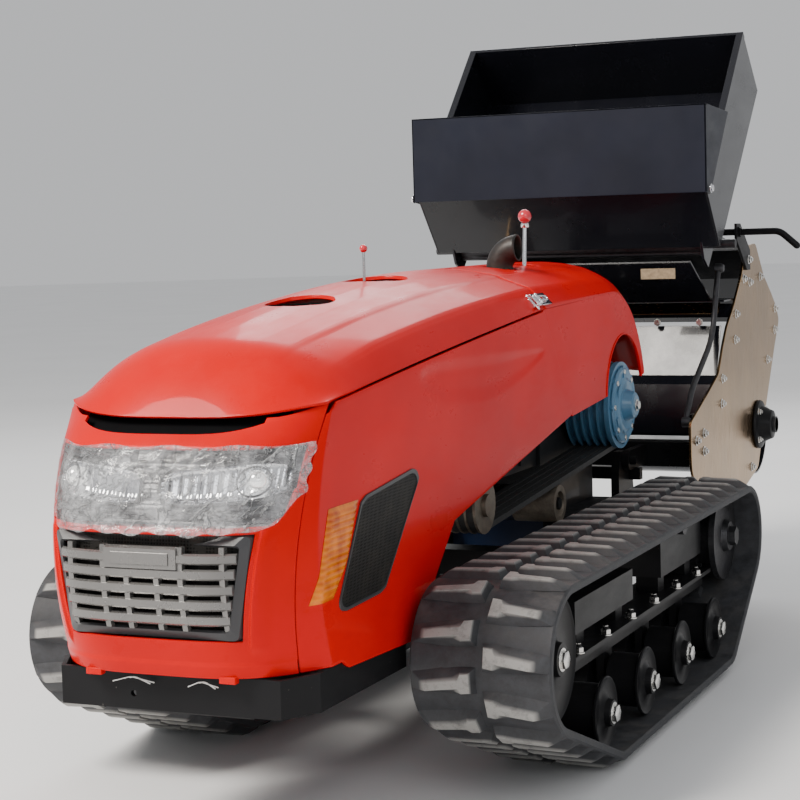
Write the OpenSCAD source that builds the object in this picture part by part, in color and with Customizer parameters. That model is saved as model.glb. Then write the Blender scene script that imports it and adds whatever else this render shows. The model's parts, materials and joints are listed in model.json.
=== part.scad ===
// Small rubber-track field machine with a tilting bonnet and a rear seed and
// fertiliser hopper. Millimetres. +Z is up, the bonnet faces -Y and the
// machine's left side is +X. The origin is on the ground, under the middle.

/* [Tracks] */
// Distance between the centre lines of the two tracks
track_gauge = 696; // [680:2:760]
// Width of each rubber track
belt_w = 230; // [200:2:240]
// Thickness of the track's carcass
belt_t = 14; // [11:1:17]
// Height of the tread bars
lug_h = 16; // [12:1:20]
// Distance from one tread bar to the next
lug_pitch = 72; // [60:1:90]
// Radius of the front idler's rims
idler_r = 105; // [90:1:115]
// Radius of the rear drive sprocket's rims
sprocket_r = 91; // [80:1:100]
// Radius of the bottom rollers' rims
roller_r = 62; // [52:1:70]
// Height of the front idler's axle above the ground
idler_z = 238; // [230:1:250]
// Place of the front idler's axle along the machine
idler_y = -822; // [-840:1:-800]
// Place of the drive sprocket's axle along the machine
sprocket_y = 322; // [310:1:330]
// Place of the first bottom roller along the machine
roller_y0 = -566; // [-580:1:-560]
// Distance between neighbouring bottom rollers
roller_pitch = 238; // [225:1:240]
// How far the idler can be drawn back to slacken the track
idler_travel = 30; // [20:1:35]

/* [Chassis] */
// Distance between the outer faces of the chassis rails
rail_span = 300; // [280:2:310]
// Height of the chassis rails
rail_h = 70; // [60:1:80]
// Width of one chassis rail
rail_w = 30; // [25:1:35]
// Height of the underside of the chassis rails above the ground
rail_z = 235; // [228:1:240]
// Height of the front bumper plate
bumper_h = 56; // [50:1:60]
// Thickness of the front bumper plate
bumper_t = 8; // [6:1:10]
// Radius of the tow hole in the bumper
tow_r = 5; // [4:0.5:8]

/* [Bonnet] */
// Half width of the bonnet at its flat sides
hood_half = 217; // [212:1:225]
// Thickness of the bonnet sheets
sheet_t = 4; // [3:0.5:5]
// Place of the nose's foremost point along the machine
nose_y = -1325; // [-1340:1:-1315]
// How far the nose sweeps back from its middle to its sides
nose_sweep = 118; // [100:1:125]
// Place of the seam between the bonnet and the rear cover at its top
seam_y = -236; // [-250:1:-220]
// Height of the bonnet's crown at that seam
crown_z = 832; // [815:1:845]
// Height of the bonnet's shoulder line at that seam
shoulder_z = 755; // [745:1:765]
// Radius of the two filler openings in the bonnet's top
filler_r = 58; // [50:1:64]

/* [Drive] */
// Outer radius of the clutch pulley
pulley_r = 91; // [84:1:96]
// Number of V-belts
belt_count = 5; // [3:1:5]
// Width of one V-belt
vbelt_w = 12; // [10:1:13]
// Thickness of one V-belt
vbelt_t = 10; // [8:1:11]
// Distance between neighbouring V-belts
vbelt_pitch = 17; // [16:0.5:18]
// Outer radius of the countershaft pulley
counter_r = 50; // [44:1:56]
// Radius of the tension pulley
tension_r = 36; // [30:1:38]

/* [Hopper and implement] */
// Half width of the hopper over its side walls
hopper_half = 338; // [330:1:342]
// Thickness of the hopper's steel sheet
hopper_t = 4; // [3:0.5:5]
// Height of the top edge of the hopper above the ground
hopper_top = 1339; // [1300:1:1360]
// Height of the folding front flap
flap_h = 181; // [160:1:190]
// Half distance between the outer faces of the stainless side plates
plate_half = 303; // [297:1:308]
// Thickness of the stainless side plates
plate_t = 6; // [4:0.5:8]
// Radius of the feed rotor over its paddles
rotor_r = 108; // [90:1:110]
// Radius of the rotor shaft
rotor_shaft_r = 20; // [16:1:22]
// Radius of the metering roller in the hopper's throat
meter_r = 26; // [20:1:28]

/* [Hidden] */

// Clearances: a shaft in its bore, a moving piece beside another, a sheet seam
run_gap = 0.05;
side_gap = 0.4;
seam_gap = 0.8;
seat_gap = 0.3;
black = "#1d1d1f";
red = "#c4191b";
steel = "#b9b3a6";

// ---------------------------------------------------------------- helpers
// Extrudes an outline drawn in (y, z) from x0 to x1
module yz(x0, x1) {
    translate([x0, 0, 0]) rotate([90, 0, 90]) linear_extrude(x1 - x0) children();
}
// A round bar along X from x0 to x1 at (y, z)
module bar_x(r, x0, x1, y, z, fn = 48) {
    translate([x0, y, z]) rotate([0, 90, 0]) cylinder(r = r, h = x1 - x0, $fn = fn);
}
// A box between two corners
module box(a, b) {
    translate(a) cube(b - a);
}
// The children and their mirror image on the other side
module both() {
    children();
    mirror([1, 0, 0]) children();
}
// The children on the left (side = 1) or mirrored to the right (side = -1)
module on_side(side) {
    mirror([side < 0 ? 1 : 0, 0, 0]) children();
}
// A round bar from point a to point b with a ball at each end
module rod(a, b, r) {
    d = b - a;
    len = norm(d);
    translate(a) rotate([0, acos(d[2] / len), atan2(d[1], d[0])])
        cylinder(r = r, h = len, $fn = 24);
    translate(b) rotate([90, 0, 0]) sphere(r = r + 1, $fn = 24);
}
// A hexagonal bolt head lying in the plane x = x0, towards +X
module bolt_x(r, h, x0, y, z) {
    translate([x0, y, z]) rotate([0, 90, 0]) cylinder(r = r, h = h, $fn = 6);
}
// A closed sheet between two surfaces, outer and inner, each given as rows of
// points: seen from outside, rows follow one another to the right and the
// points of a row run up. Cells where keep(i, j) is false are left open
module sheet(outer, inner, keep = function (i, j) true) {
    nu = len(outer);
    nv = len(outer[0]);
    all_points = concat([for (row = outer, p = row) p], [for (row = inner, p = row) p]);
    function at(k, i, j) = k * nu * nv + i * nv + j;
    function has(i, j) = i >= 0 && j >= 0 && i < nu - 1 && j < nv - 1 && keep(i, j);
    // Wall between the surfaces along the cell edge from a to b, as [i, j]
    function wall(a, b) = [[at(0, a[0], a[1]), at(1, a[0], a[1]), at(1, b[0], b[1])],
        [at(0, a[0], a[1]), at(1, b[0], b[1]), at(0, b[0], b[1])]];
    faces = [for (i = [0:nu - 2], j = [0:nv - 2]) if (has(i, j)) each concat(
        [[at(0, i, j), at(0, i, j + 1), at(0, i + 1, j + 1)],
            [at(0, i, j), at(0, i + 1, j + 1), at(0, i + 1, j)],
            [at(1, i, j), at(1, i + 1, j + 1), at(1, i, j + 1)],
            [at(1, i, j), at(1, i + 1, j), at(1, i + 1, j + 1)]],
        has(i - 1, j) ? [] : wall([i, j], [i, j + 1]),
        has(i + 1, j) ? [] : wall([i + 1, j + 1], [i + 1, j]),
        has(i, j - 1) ? [] : wall([i + 1, j], [i, j]),
        has(i, j + 1) ? [] : wall([i, j + 1], [i + 1, j + 1]))];
    polyhedron(points = all_points, faces = faces, convexity = 6);
}

// ---------------------------------------------------------------- tracks
track_x = track_gauge / 2;
sprocket_z = idler_z + idler_r - sprocket_r;
roller_z = lug_h + belt_t + roller_r;
roller_last = roller_y0 + 3 * roller_pitch;
// Wheels that shape the track, anticlockwise from the front, as [y, z, radius]
wheels = [[idler_y, idler_z, idler_r], [roller_y0, roller_z, roller_r],
    [roller_last, roller_z, roller_r], [sprocket_y, sprocket_z, sprocket_r]];
nw = len(wheels);
function wheel(i) = wheels[(i + nw) % nw];
function span(i) = [wheel(i + 1)[0] - wheel(i)[0], wheel(i + 1)[1] - wheel(i)[1]];
// Direction of the outward normal on the straight run after wheel i
function leave(i) = atan2(span(i)[1], span(i)[0])
    - acos((wheel(i)[2] - wheel(i + 1)[2]) / norm(span(i)));
function arrive(i) = leave(i - 1) - (leave(i - 1) > leave(i) ? 360 : 0);
function rim(i, a, e) = [wheel(i)[0] + (wheel(i)[2] + e) * cos(a),
    wheel(i)[1] + (wheel(i)[2] + e) * sin(a)];
arc_steps = 32;
// The track's loop, e outside the wheels' rims
function track_loop(e) = [for (i = [0:nw - 1], k = [0:arc_steps])
    rim(i, arrive(i) + (leave(i) - arrive(i)) * k / arc_steps, e)];
// Lengths along the loop: an arc and then a straight for each wheel
function arc_len(i) = (wheel(i)[2] + belt_t) * (leave(i) - arrive(i)) * PI / 180;
function run_len(i) = sqrt(pow(norm(span(i)), 2) - pow(wheel(i)[2] - wheel(i + 1)[2], 2));
function loop_len(i = 0) = i == nw ? 0 : arc_len(i) + run_len(i) + loop_len(i + 1);
// Place and outward direction, as [y, z, angle], at length s along the loop
function station(s, i = 0) = s < arc_len(i) || i == nw - 1 && s < arc_len(i)
    ? let (a = arrive(i) + (leave(i) - arrive(i)) * s / arc_len(i)) [for (v = rim(i, a, belt_t)) v, a]
    : s < arc_len(i) + run_len(i) || i == nw - 1
    ? let (a = leave(i), p = rim(i, a, belt_t), d = s - arc_len(i))
        [p[0] - d * sin(a), p[1] + d * cos(a), a]
    : station(s - arc_len(i) - run_len(i), i + 1);
lug_count = floor(loop_len() / lug_pitch);
lug_step = loop_len() / lug_count;
lug_bar = 26;
lug_row = belt_w / 2 - 8;
guide_w = 26;
guide_h = 12;
guide_len = 30;

module at_station(s) {
    p = station(s % loop_len());
    translate([0, p[0], p[1]]) rotate([p[2] - 90, 0, 0]) children();
}
module track_belt(side) {
    sink = 1.5;
    color("#2b2b2c") on_side(side) translate([track_x, 0, 0]) difference() {
        union() {
            difference() {
                yz(-belt_w / 2, belt_w / 2) polygon(track_loop(belt_t));
                yz(-belt_w, belt_w) polygon(track_loop(0));
            }
            for (k = [0:lug_count - 1]) {
                at_station((k + 0.25) * lug_step)
                    box([5, -lug_bar / 2, -sink], [lug_row + 5, lug_bar / 2, lug_h]);
                at_station((k + 0.75) * lug_step)
                    box([-lug_row - 5, -lug_bar / 2, -sink], [-5, lug_bar / 2, lug_h]);
                at_station((k + 0.5) * lug_step)
                    box([-guide_w / 2, -guide_len / 2, -belt_t - guide_h],
                        [guide_w / 2, guide_len / 2, -belt_t + sink]);
            }
        }
        // The bars that enter the ground run are pressed flat on the ground
        box([-belt_w, idler_y - 300, -lug_h], [belt_w, sprocket_y + 300, 0]);
    }
}

// A twin-rim wheel that turns on its own shaft: the guide bars run between the
// rims, and a hanger or a yoke holds the shaft in the middle
wheel_half = 60;
groove_half = 17;
rim_w = 12;
shaft_r = 12;
module track_wheel(r, drum_r, boss_r, boss_out, head_r) {
    rr = r - side_gap;
    profile = [[0, -wheel_half - 4], [boss_r, -wheel_half - 4], [boss_r, -wheel_half],
        [rr, -wheel_half], [rr, -wheel_half + rim_w], [drum_r, -wheel_half + rim_w],
        [drum_r, -groove_half], [shaft_r, -groove_half], [shaft_r, groove_half],
        [drum_r, groove_half], [drum_r, wheel_half - rim_w], [rr, wheel_half - rim_w],
        [rr, wheel_half], [boss_r + 4, wheel_half], [boss_r, wheel_half + boss_out],
        [0, wheel_half + boss_out]];
    rotate([0, 90, 0]) rotate_extrude($fn = 72) polygon(profile);
    bolt_x(head_r, 12, wheel_half + boss_out - 0.5, 0, 0);
}
module track_roller(side, i) {
    color(black) on_side(side)
        translate([track_x, roller_y0 + i * roller_pitch, roller_z])
            track_wheel(roller_r, roller_r - 14, 22, 14, 17);
}
module front_idler(side) {
    color(black) on_side(side) translate([track_x, idler_y, idler_z])
        track_wheel(idler_r, idler_r - 18, 26, 14, 18);
}

// Track frame: lower beam with a hanger for each roller, the tensioner's box
// above its front half, a cross box at the rear and a cross tube at the front
beam_z0 = roller_z + roller_r + 8;
beam_top = beam_z0 + 35;
beam_y0 = roller_y0 - 90;
beam_y1 = roller_last + 92;
hanger_t = 14;
box_half = 37;
box_wall = 8;
box_z0 = beam_top + 29;
box_z1 = box_z0 + 56;
box_y0 = idler_y + 227;
box_y1 = box_y0 + 330;
cross_y0 = sprocket_y - 402;
cross_y1 = sprocket_y - 110;
cross_z0 = box_z0 + 6;
cross_z1 = idler_z + idler_r - 30;
rail_out = rail_span / 2;
frame_plate = 8;
module track_frame_left_shape() {
    difference() {
        union() {
            box([track_x - 50, beam_y0, beam_top - 8], [track_x + 50, beam_y1, beam_top]);
            box([track_x - 32, beam_y0, beam_z0], [track_x + 32, beam_y1, beam_top - 8]);
            for (i = [0:3]) {
                y = roller_y0 + i * roller_pitch;
                box([track_x - hanger_t / 2, y - 24, roller_z],
                    [track_x + hanger_t / 2, y + 24, beam_z0 + 1]);
                bar_x(24, track_x - hanger_t / 2, track_x + hanger_t / 2, y, roller_z);
            }
        }
        for (i = [0:3])
            bar_x(shaft_r + run_gap, 0, 600, roller_y0 + i * roller_pitch, roller_z);
    }
    // Tensioner box on two saddles
    difference() {
        box([track_x - box_half, box_y0, box_z0], [track_x + box_half, box_y1, box_z1]);
        box([track_x - box_half + box_wall, box_y0 - 1, box_z0 + box_wall],
            [track_x + box_half - box_wall, box_y1 - 10, box_z1 - box_wall]);
        translate([track_x, box_y1 + 1, (box_z0 + box_z1) / 2]) rotate([90, 0, 0])
            cylinder(r = screw_r + run_gap, h = 20, $fn = 32);
    }
    for (y = [box_y0 + 50, box_y1 - 60])
        box([track_x - 22, y, beam_top - 1], [track_x + 22, y + 40, box_z0 + 1]);
    // Cross box to the rail, standing on two posts
    difference() {
        box([rail_out, cross_y0, cross_z0], [track_x + box_half, cross_y1, cross_z1]);
        bar_x(carrier_r + 4, track_x - box_half - 27, track_x - box_half - 1,
            carrier_y, carrier_z);
    }
    for (y = [cross_y0 + 30, cross_y1 - 70])
        box([track_x - 22, y, beam_top - 1], [track_x + 22, y + 40, cross_z0 + 1]);
    // Front cross tube to the rail
    box([rail_out, box_y0 + 20, box_z0 + 4], [track_x - box_half + 1, box_y0 + 70, box_z1 - 4]);
    // Carrier roller's two ears
    for (s = [-1, 1]) difference() {
        translate([track_x + s * ear_x - 4, carrier_y - 14, cross_z1 - 1])
            cube([8, 28, carrier_z - cross_z1 + 9]);
        bar_x(carrier_pin + run_gap, 0, 600, carrier_y, carrier_z, 32);
    }
    // Nuts along the top flange
    for (i = [0:5]) {
        y = beam_y0 + 60 + i * 150;
        translate([track_x + 42, y, beam_top - 0.5]) cylinder(r = 8, h = 10, $fn = 6);
        translate([track_x + 42, y, beam_top + 9]) cylinder(r = 5, h = 7, $fn = 20);
    }
}
carrier_r = 20;
carrier_pin = 5;
carrier_y = cross_y0 + 90;
carrier_z = idler_z + idler_r - carrier_r - side_gap;
ear_x = box_half - 7;
module track_frame(side) {
    color(black) on_side(side) track_frame_left_shape();
}
module carrier_roller(side) {
    color("#3a3a3c") on_side(side) {
        for (s = [-1, 1])
            bar_x(carrier_r, track_x + s * (box_half + 14) - 10, track_x + s * (box_half + 14) + 10,
                carrier_y, carrier_z);
        bar_x(carrier_pin, track_x - box_half - 20, track_x + box_half + 20, carrier_y, carrier_z, 32);
    }
}

// Idler yoke: a blade that holds the idler's shaft, on a bar that slides in the
// tensioner box, and the tension screw that pushes it
screw_r = 8;
yoke_t = 14;
slide_y1 = box_y1 - 85;
module idler_yoke(side) {
    mid = (box_z0 + box_z1) / 2;
    bar_half_x = box_half - box_wall - side_gap;
    bar_half_z = (box_z1 - box_z0) / 2 - box_wall - side_gap;
    color(black) on_side(side) {
        difference() {
            union() {
                box([track_x - yoke_t / 2, idler_y, mid - 22],
                    [track_x + yoke_t / 2, box_y0 + 8, mid + 20]);
                bar_x(28, track_x - yoke_t / 2, track_x + yoke_t / 2, idler_y, idler_z);
            }
            bar_x(shaft_r + run_gap, 0, 600, idler_y, idler_z);
            box([track_x - 30, box_y0 - idler_travel - 6, mid - 40],
                [track_x + 30, box_y0 + 10, mid - bar_half_z]);
            box([track_x - 30, box_y0 - idler_travel - 6, mid + bar_half_z],
                [track_x + 30, box_y0 + 10, mid + 40]);
        }
        box([track_x - bar_half_x, box_y0 + 6, mid - bar_half_z],
            [track_x + bar_half_x, slide_y1, mid + bar_half_z]);
    }
    color(steel) on_side(side) {
        translate([track_x, slide_y1 - 1, mid]) rotate([-90, 0, 0])
            cylinder(r = screw_r, h = box_y1 - slide_y1 + 60, $fn = 32);
        translate([track_x, box_y1 + 44, mid]) rotate([-90, 0, 0])
            cylinder(r = 17, h = 16, $fn = 6);
    }
}

// Drive sprocket on the half shaft that comes from the gearbox
half_shaft_r = 25;
gearbox_half = 118;
tube_end = track_x - wheel_half - 6;
teeth = 8;
module drive_sprocket(side) {
    tip = sprocket_r - guide_h - 2;
    color("#303033") on_side(side) translate([0, sprocket_y, sprocket_z]) {
        translate([track_x, 0, 0]) rotate([0, 90, 0]) rotate_extrude($fn = 72)
            polygon([[0, -wheel_half], [sprocket_r - side_gap, -wheel_half],
                [sprocket_r - side_gap, -wheel_half + rim_w], [60, -wheel_half + rim_w],
                [60, wheel_half - rim_w], [sprocket_r - side_gap, wheel_half - rim_w],
                [sprocket_r - side_gap, wheel_half], [34, wheel_half], [30, wheel_half + 12],
                [0, wheel_half + 12]]);
        for (k = [0:teeth - 1]) rotate([k * 360 / teeth, 0, 0])
            box([track_x - 13, -9, 55], [track_x + 13, 9, tip]);
        bar_x(half_shaft_r, gearbox_half - 20, track_x - wheel_half + 1, 0, 0);
        bolt_x(20, 14, track_x + wheel_half + 11.5, 0, 0);
    }
}
module axle_tubes() {
    color(black) both() difference() {
        union() {
            bar_x(44, rail_out, tube_end, sprocket_y, sprocket_z);
            bar_x(68, rail_out, rail_out + 12, sprocket_y, sprocket_z);
            for (k = [0:5]) translate([0, sprocket_y, sprocket_z]) rotate([k * 60 + 30, 0, 0])
                bolt_x(8, 8, rail_out + 11.5, 0, 56);
        }
        bar_x(half_shaft_r + run_gap, 0, 400, sprocket_y, sprocket_z);
    }
}

// ---------------------------------------------------------------- chassis
rail_top = rail_z + rail_h;
rail_in = rail_out - rail_w;
rail_y0 = nose_y + 135;
rail_y1 = sprocket_y + 203;
hitch_y = sprocket_y + 148;
hitch_z = 388;
pin_r = 10;
ear_t = 18;
stop_y = hitch_y + 44;
arm_under = hitch_z - 22;
counter_y = sprocket_y - 832;
counter_z = 427;
counter_shaft_r = 14;
arm_pivot_y = sprocket_y - 302;
arm_pivot_z = rail_top + 34;
module chassis_frame() {
    color(black) difference() {
        union() {
            both() box([rail_in, rail_y0, rail_z], [rail_out, rail_y1, rail_top]);
            // Cross members: front, under the nose, middle and rear
            box([bumper_t - bumper_half, rail_y0 - 8, rail_z + 5],
                [bumper_half - bumper_t, rail_y0 + 22, bumper_z + bumper_h - 2]);
            for (y = [counter_y - 30, -230])
                box([-rail_in - 1, y, rail_z + 8], [rail_in + 1, y + 60, rail_top - 8]);
            box([-rail_in - 1, rail_y1 - 30, rail_z + 8], [rail_in + 1, rail_y1, rail_top - 8]);
            // Bearing blocks of the countershaft
            both() box([rail_in - 60, counter_y - 28, rail_top - 9],
                [rail_in - 24, counter_y + 28, counter_z + 24]);
            // Ears and stop bar of the hitch
            both() yz(rail_out - ear_t - 4, rail_out - 4)
                polygon([[hitch_y - 40, rail_top - 1], [stop_y + 28, rail_top - 1],
                    [stop_y + 20, arm_under - 20], [hitch_y + 20, hitch_z + 20],
                    [hitch_y - 20, hitch_z + 20], [hitch_y - 40, hitch_z - 20]]);
            box([-rail_out - 22, stop_y - 10, arm_under - 26],
                [rail_out + 22, stop_y + 10, arm_under - side_gap]);
            // Bracket of the tension arm
            box([rail_in, arm_pivot_y - 18, rail_top - 1],
                [rail_out - 4, arm_pivot_y + 22, arm_pivot_z + 16]);
        }
        both() bar_x(half_shaft_r + 1, rail_in - 5, rail_out + 5, sprocket_y, sprocket_z);
        bar_x(counter_shaft_r + run_gap, -200, 200, counter_y, counter_z);
    }
    // Hitch pins, and the pin of the tension arm
    color(steel) {
        both() bar_x(pin_r, rail_out - 8, rail_out + 26, hitch_y, hitch_z);
        bar_x(8, arm_x - 12, rail_in + 2, arm_pivot_y, arm_pivot_z, 32);
    }
}
hinge_y = nose_y + 60;
hinge_z = rail_z + bumper_h + 5;
hinge_pin = 4;
hinge_x = 100;
bumper_half = hood_half - sheet_t - side_gap;
bumper_y = nose_y + 61;
bumper_z = rail_z - 4;
module bumper_plan(inset) {
    polygon([[-bumper_half + inset, bumper_y + 360 + inset],
        [-bumper_half + inset, bumper_y + 59 + inset * 0.4],
        [-bumper_half + 33 + inset * 0.4, bumper_y + inset],
        [bumper_half - 33 - inset * 0.4, bumper_y + inset],
        [bumper_half - inset, bumper_y + 59 + inset * 0.4],
        [bumper_half - inset, bumper_y + 360 + inset]]);
}
module front_bumper() {
    color(black) {
        difference() {
            translate([0, 0, bumper_z]) linear_extrude(bumper_h) bumper_plan(0);
            translate([0, 0, bumper_z - 1]) linear_extrude(bumper_h + 2) bumper_plan(bumper_t);
            translate([-58, bumper_y - 5, bumper_z + 23]) rotate([-90, 0, 0])
                cylinder(r = tow_r, h = 40, $fn = 32);
        }
        // Hinge lugs of the bonnet, each with its pin
        both() {
            box([hinge_x - 9, hinge_y - 6, bumper_z + bumper_h - 1],
                [hinge_x + 9, hinge_y + 14, hinge_z + 7]);
            bar_x(hinge_pin, hinge_x, hinge_x + 22, hinge_y, hinge_z, 32);
        }
    }
}
module skid_guard() {
    front = rail_y0 - 8;
    color(black) yz(-95, 95) polygon([[front, rail_z + 5], [front + 60, rail_z - 2],
        [front + 60, rail_z - 20], [front + 12, rail_z - 28], [front, rail_z - 14]]);
}
module gearbox() {
    y0 = sprocket_y - 212;
    color("#1d3150") difference() {
        union() {
            box([-rail_in + side_gap, y0, rail_z - 15], [rail_in - side_gap, y0 + 300, rail_top - 2]);
            box([-gearbox_half + 28, y0 + 20, rail_top - 3], [gearbox_half - 28, y0 + 280, 345]);
            translate([0, sprocket_y - 60, 344]) cylinder(r = 34, h = 12, $fn = 40);
            for (k = [0:5]) bolt_x(9, 3, gearbox_half - 28.5, y0 + 40 + k * 44, 330);
        }
        both() bar_x(half_shaft_r + run_gap, gearbox_half - 30, 200, sprocket_y, sprocket_z);
    }
}

// ---------------------------------------------------------------- engine
crank_y = sprocket_y - 47;
crank_z = 529;
crank_r = 22;
engine_side = 96;
engine_y0 = -440;
crank_top = 640;
block_top = 618;
stop_pin = 5;
module engine_block() {
    color("#3c4046") difference() {
        union() {
            box([-engine_side - 4, crank_y - 215, rail_top + 80], [engine_side, crank_y + 125, crank_top]);
            box([-92, engine_y0 + 60, 425], [88, crank_y - 214, block_top]);
            box([-84, engine_y0, 440], [80, engine_y0 + 61, 605]);
            // Feet on the rails
            both() box([engine_side - 2, crank_y - 200, rail_top],
                [engine_side + 4, crank_y + 110, rail_top + 81]);
            both() box([engine_side - 2, crank_y - 200, rail_top],
                [rail_in + 20, crank_y + 110, rail_top + 12]);
            // Ears and pin of the stop lever
            for (s = [-1, 1]) translate([stop_at[0] + s * 12 - 2, stop_at[1] - 12, 639])
                cube([4, 24, stop_pivot_z - 639 + 12]);
            bar_x(stop_pin, stop_at[0] - 14, stop_at[0] + 14, stop_at[1], stop_pivot_z, 32);
            for (k = [0:6])
                box([-97, engine_y0 + 84 + k * 52, 436], [93, engine_y0 + 96 + k * 52, 606]);
        }
        bar_x(crank_r + run_gap, engine_side - 40, engine_side + 5, crank_y, crank_z);
    }
}
radiator_y0 = -600;
module radiator_tank() {
    color("#33373d") {
        difference() {
            box([-98, radiator_y0, block_top], [98, -300, 772]);
            translate([0, float_y, 760]) cylinder(r = float_r + run_gap, h = 30, $fn = 24);
        }
        translate([0, nose_y + 815, 771]) cylinder(r = 34, h = 22, $fn = 40);
    }
}
float_y = radiator_y0 + 45;
float_r = 2.5;
module water_float() {
    color("#9b9b9b") translate([0, float_y, 761]) cylinder(r = float_r, h = 112, $fn = 24);
    color(red) translate([0, float_y, 877]) rotate([90, 0, 0]) sphere(r = 7, $fn = 32);
}
module fuel_tank() {
    color(black) {
        box([-96, -280, crank_top + 1], [28, 50, 770]);
        translate([-30, -130, 769]) cylinder(r = 30, h = 18, $fn = 40);
        for (y = [-250, 20]) box([-80, y, block_top], [20, y + 20, crank_top + 2]);
    }
}

// Pulleys and belts of the drive
belt_x0 = 112;
function belt_x(k) = belt_x0 + k * vbelt_pitch;
pulley_x1 = belt_x(4) + vbelt_w + 3;
root_gap = 0.5;
module grooved_pulley(r, x0, x1) {
    rotate([0, 90, 0]) difference() {
        translate([0, 0, x0]) cylinder(r = r, h = x1 - x0, $fn = 96);
        for (k = [0:4]) translate([0, 0, belt_x(k) - root_gap]) difference() {
            cylinder(r = r + 5, h = vbelt_w + 2 * root_gap, $fn = 96);
            translate([0, 0, -1]) cylinder(r = r - vbelt_t - 2, h = vbelt_w + 4, $fn = 96);
        }
    }
}
module clutch_pulley() {
    color("#2f6c9c") translate([0, crank_y, crank_z]) {
        grooved_pulley(pulley_r, belt_x0 - 4, pulley_x1 + 8);
        bar_x(56, pulley_x1 + 7, pulley_x1 + 13, 0, 0);
        bar_x(26, pulley_x1 + 12, pulley_x1 + 26, 0, 0);
        bar_x(crank_r, engine_side - 36, belt_x0, 0, 0);
        for (k = [0:7]) rotate([k * 45, 0, 0]) bolt_x(7, 7, pulley_x1 + 7.5, 0, 76);
        for (k = [0:2]) rotate([k * 120, 0, 0])
            box([pulley_x1 + 7, -9, 20], [pulley_x1 + 18, 9, 66]);
    }
}
module countershaft_pulley() {
    color("#6f6a60") translate([0, counter_y, counter_z]) {
        grooved_pulley(counter_r, belt_x0 - 4, pulley_x1 + 2);
        bar_x(counter_shaft_r, -rail_in + 12, belt_x0, 0, 0);
        bar_x(20, pulley_x1 + 1, pulley_x1 + 10, 0, 0);
    }
}
// A V-belt's loop round both pulleys, e outside the groove's root
function belt_root(r) = r - vbelt_t - 2 + root_gap;
pulleys = [[counter_y, counter_z, belt_root(counter_r)], [crank_y, crank_z, belt_root(pulley_r)]];
pulley_span = [pulleys[1][0] - pulleys[0][0], pulleys[1][1] - pulleys[0][1]];
pulley_dir = atan2(pulley_span[1], pulley_span[0]);
pulley_tilt = acos((pulleys[1][2] - pulleys[0][2]) / norm(pulley_span));
function pulley_rim(i, a, e) = [pulleys[i][0] + (pulleys[i][2] + e) * cos(a),
    pulleys[i][1] + (pulleys[i][2] + e) * sin(a)];
function vbelt_loop(e) = concat(
    [for (k = [0:16]) pulley_rim(1, pulley_dir - 180 + pulley_tilt
        + (360 - 2 * pulley_tilt) * k / 16, e)],
    [for (k = [0:16]) pulley_rim(0, pulley_dir + 180 - pulley_tilt
        + 2 * pulley_tilt * k / 16, e)]);
module drive_belts() {
    color("#1a1a1a") for (k = [0:belt_count - 1]) difference() {
        yz(belt_x(k), belt_x(k) + vbelt_w) polygon(vbelt_loop(vbelt_t));
        yz(belt_x(k) - 1, belt_x(k) + vbelt_w + 1) polygon(vbelt_loop(0));
    }
}
// The tension pulley runs under the belts' lower run
arm_x = 94;
tension_y = arm_pivot_y - 125;
lower_dir = pulley_dir - 90 + pulley_tilt;
lower_start = pulley_rim(0, lower_dir - 90, vbelt_t);
tension_z = lower_start[1] + (tension_y - lower_start[0]) * tan(lower_dir)
    - (tension_r + side_gap) / cos(lower_dir);
module tension_pulley() {
    color("#7a6f5f") translate([arm_x + 12, tension_y, tension_z]) rotate([0, 90, 0])
        rotate_extrude($fn = 72) polygon([[8 + run_gap, 0], [tension_r, 0], [tension_r, 88],
            [tension_r - 12, 88], [tension_r - 14, 80], [8 + run_gap, 80]]);
}
module tension_arm() {
    d = [arm_pivot_y - tension_y, arm_pivot_z - tension_z];
    color(black) difference() {
        union() {
            translate([arm_x, tension_y, tension_z]) rotate([atan2(d[1], d[0]), 0, 0])
                box([1, 2, -9], [9, norm(d) - 2, 9]);
            bar_x(16, arm_x, arm_x + 10, tension_y, tension_z);
            bar_x(18, arm_x, arm_x + 10, arm_pivot_y, arm_pivot_z);
            bar_x(8, arm_x + 2, arm_x + 94, tension_y, tension_z, 32);
            bolt_x(12, 7, arm_x + 93, tension_y, tension_z);
        }
        bar_x(8 + run_gap, arm_x - 20, arm_x + 30, arm_pivot_y, arm_pivot_z, 32);
    }
}
exhaust_at = [60, -50];
exhaust_r = 26;
exhaust_bend = 40;
module exhaust_pipe() {
    wall = 3;
    top = crown_z - 5;
    color("#2a2826") translate([exhaust_at[0], exhaust_at[1], 0]) {
        translate([0, 0, block_top]) difference() {
            cylinder(r = exhaust_r, h = top - block_top, $fn = 48);
            translate([0, 0, 10]) cylinder(r = exhaust_r - wall, h = top, $fn = 48);
        }
        translate([exhaust_bend, 0, top]) rotate([90, 0, 180])
            rotate_extrude(angle = 90, $fn = 96) translate([exhaust_bend, 0]) difference() {
                circle(r = exhaust_r, $fn = 48);
                circle(r = exhaust_r - wall, $fn = 48);
            }
    }
}
stop_at = [60, 80];
stop_pivot_z = 700;
module stop_lever() {
    color("#c9c9c9") {
        difference() {
            union() {
                rod([stop_at[0], stop_at[1], stop_pivot_z], [stop_at[0], stop_at[1] + 22, 915], 4);
                bar_x(10, stop_at[0] - 8, stop_at[0] + 8, stop_at[1], stop_pivot_z, 32);
            }
            bar_x(stop_pin + run_gap, stop_at[0] - 20, stop_at[0] + 20, stop_at[1], stop_pivot_z, 32);
        }
        translate([stop_at[0], stop_at[1] + 22, 908]) cylinder(r = 7, h = 10, $fn = 24);
    }
    color("#d0202a") translate([stop_at[0], stop_at[1] + 22, 929]) rotate([90, 0, 0])
        sphere(r = 14, $fn = 40);
}

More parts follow.
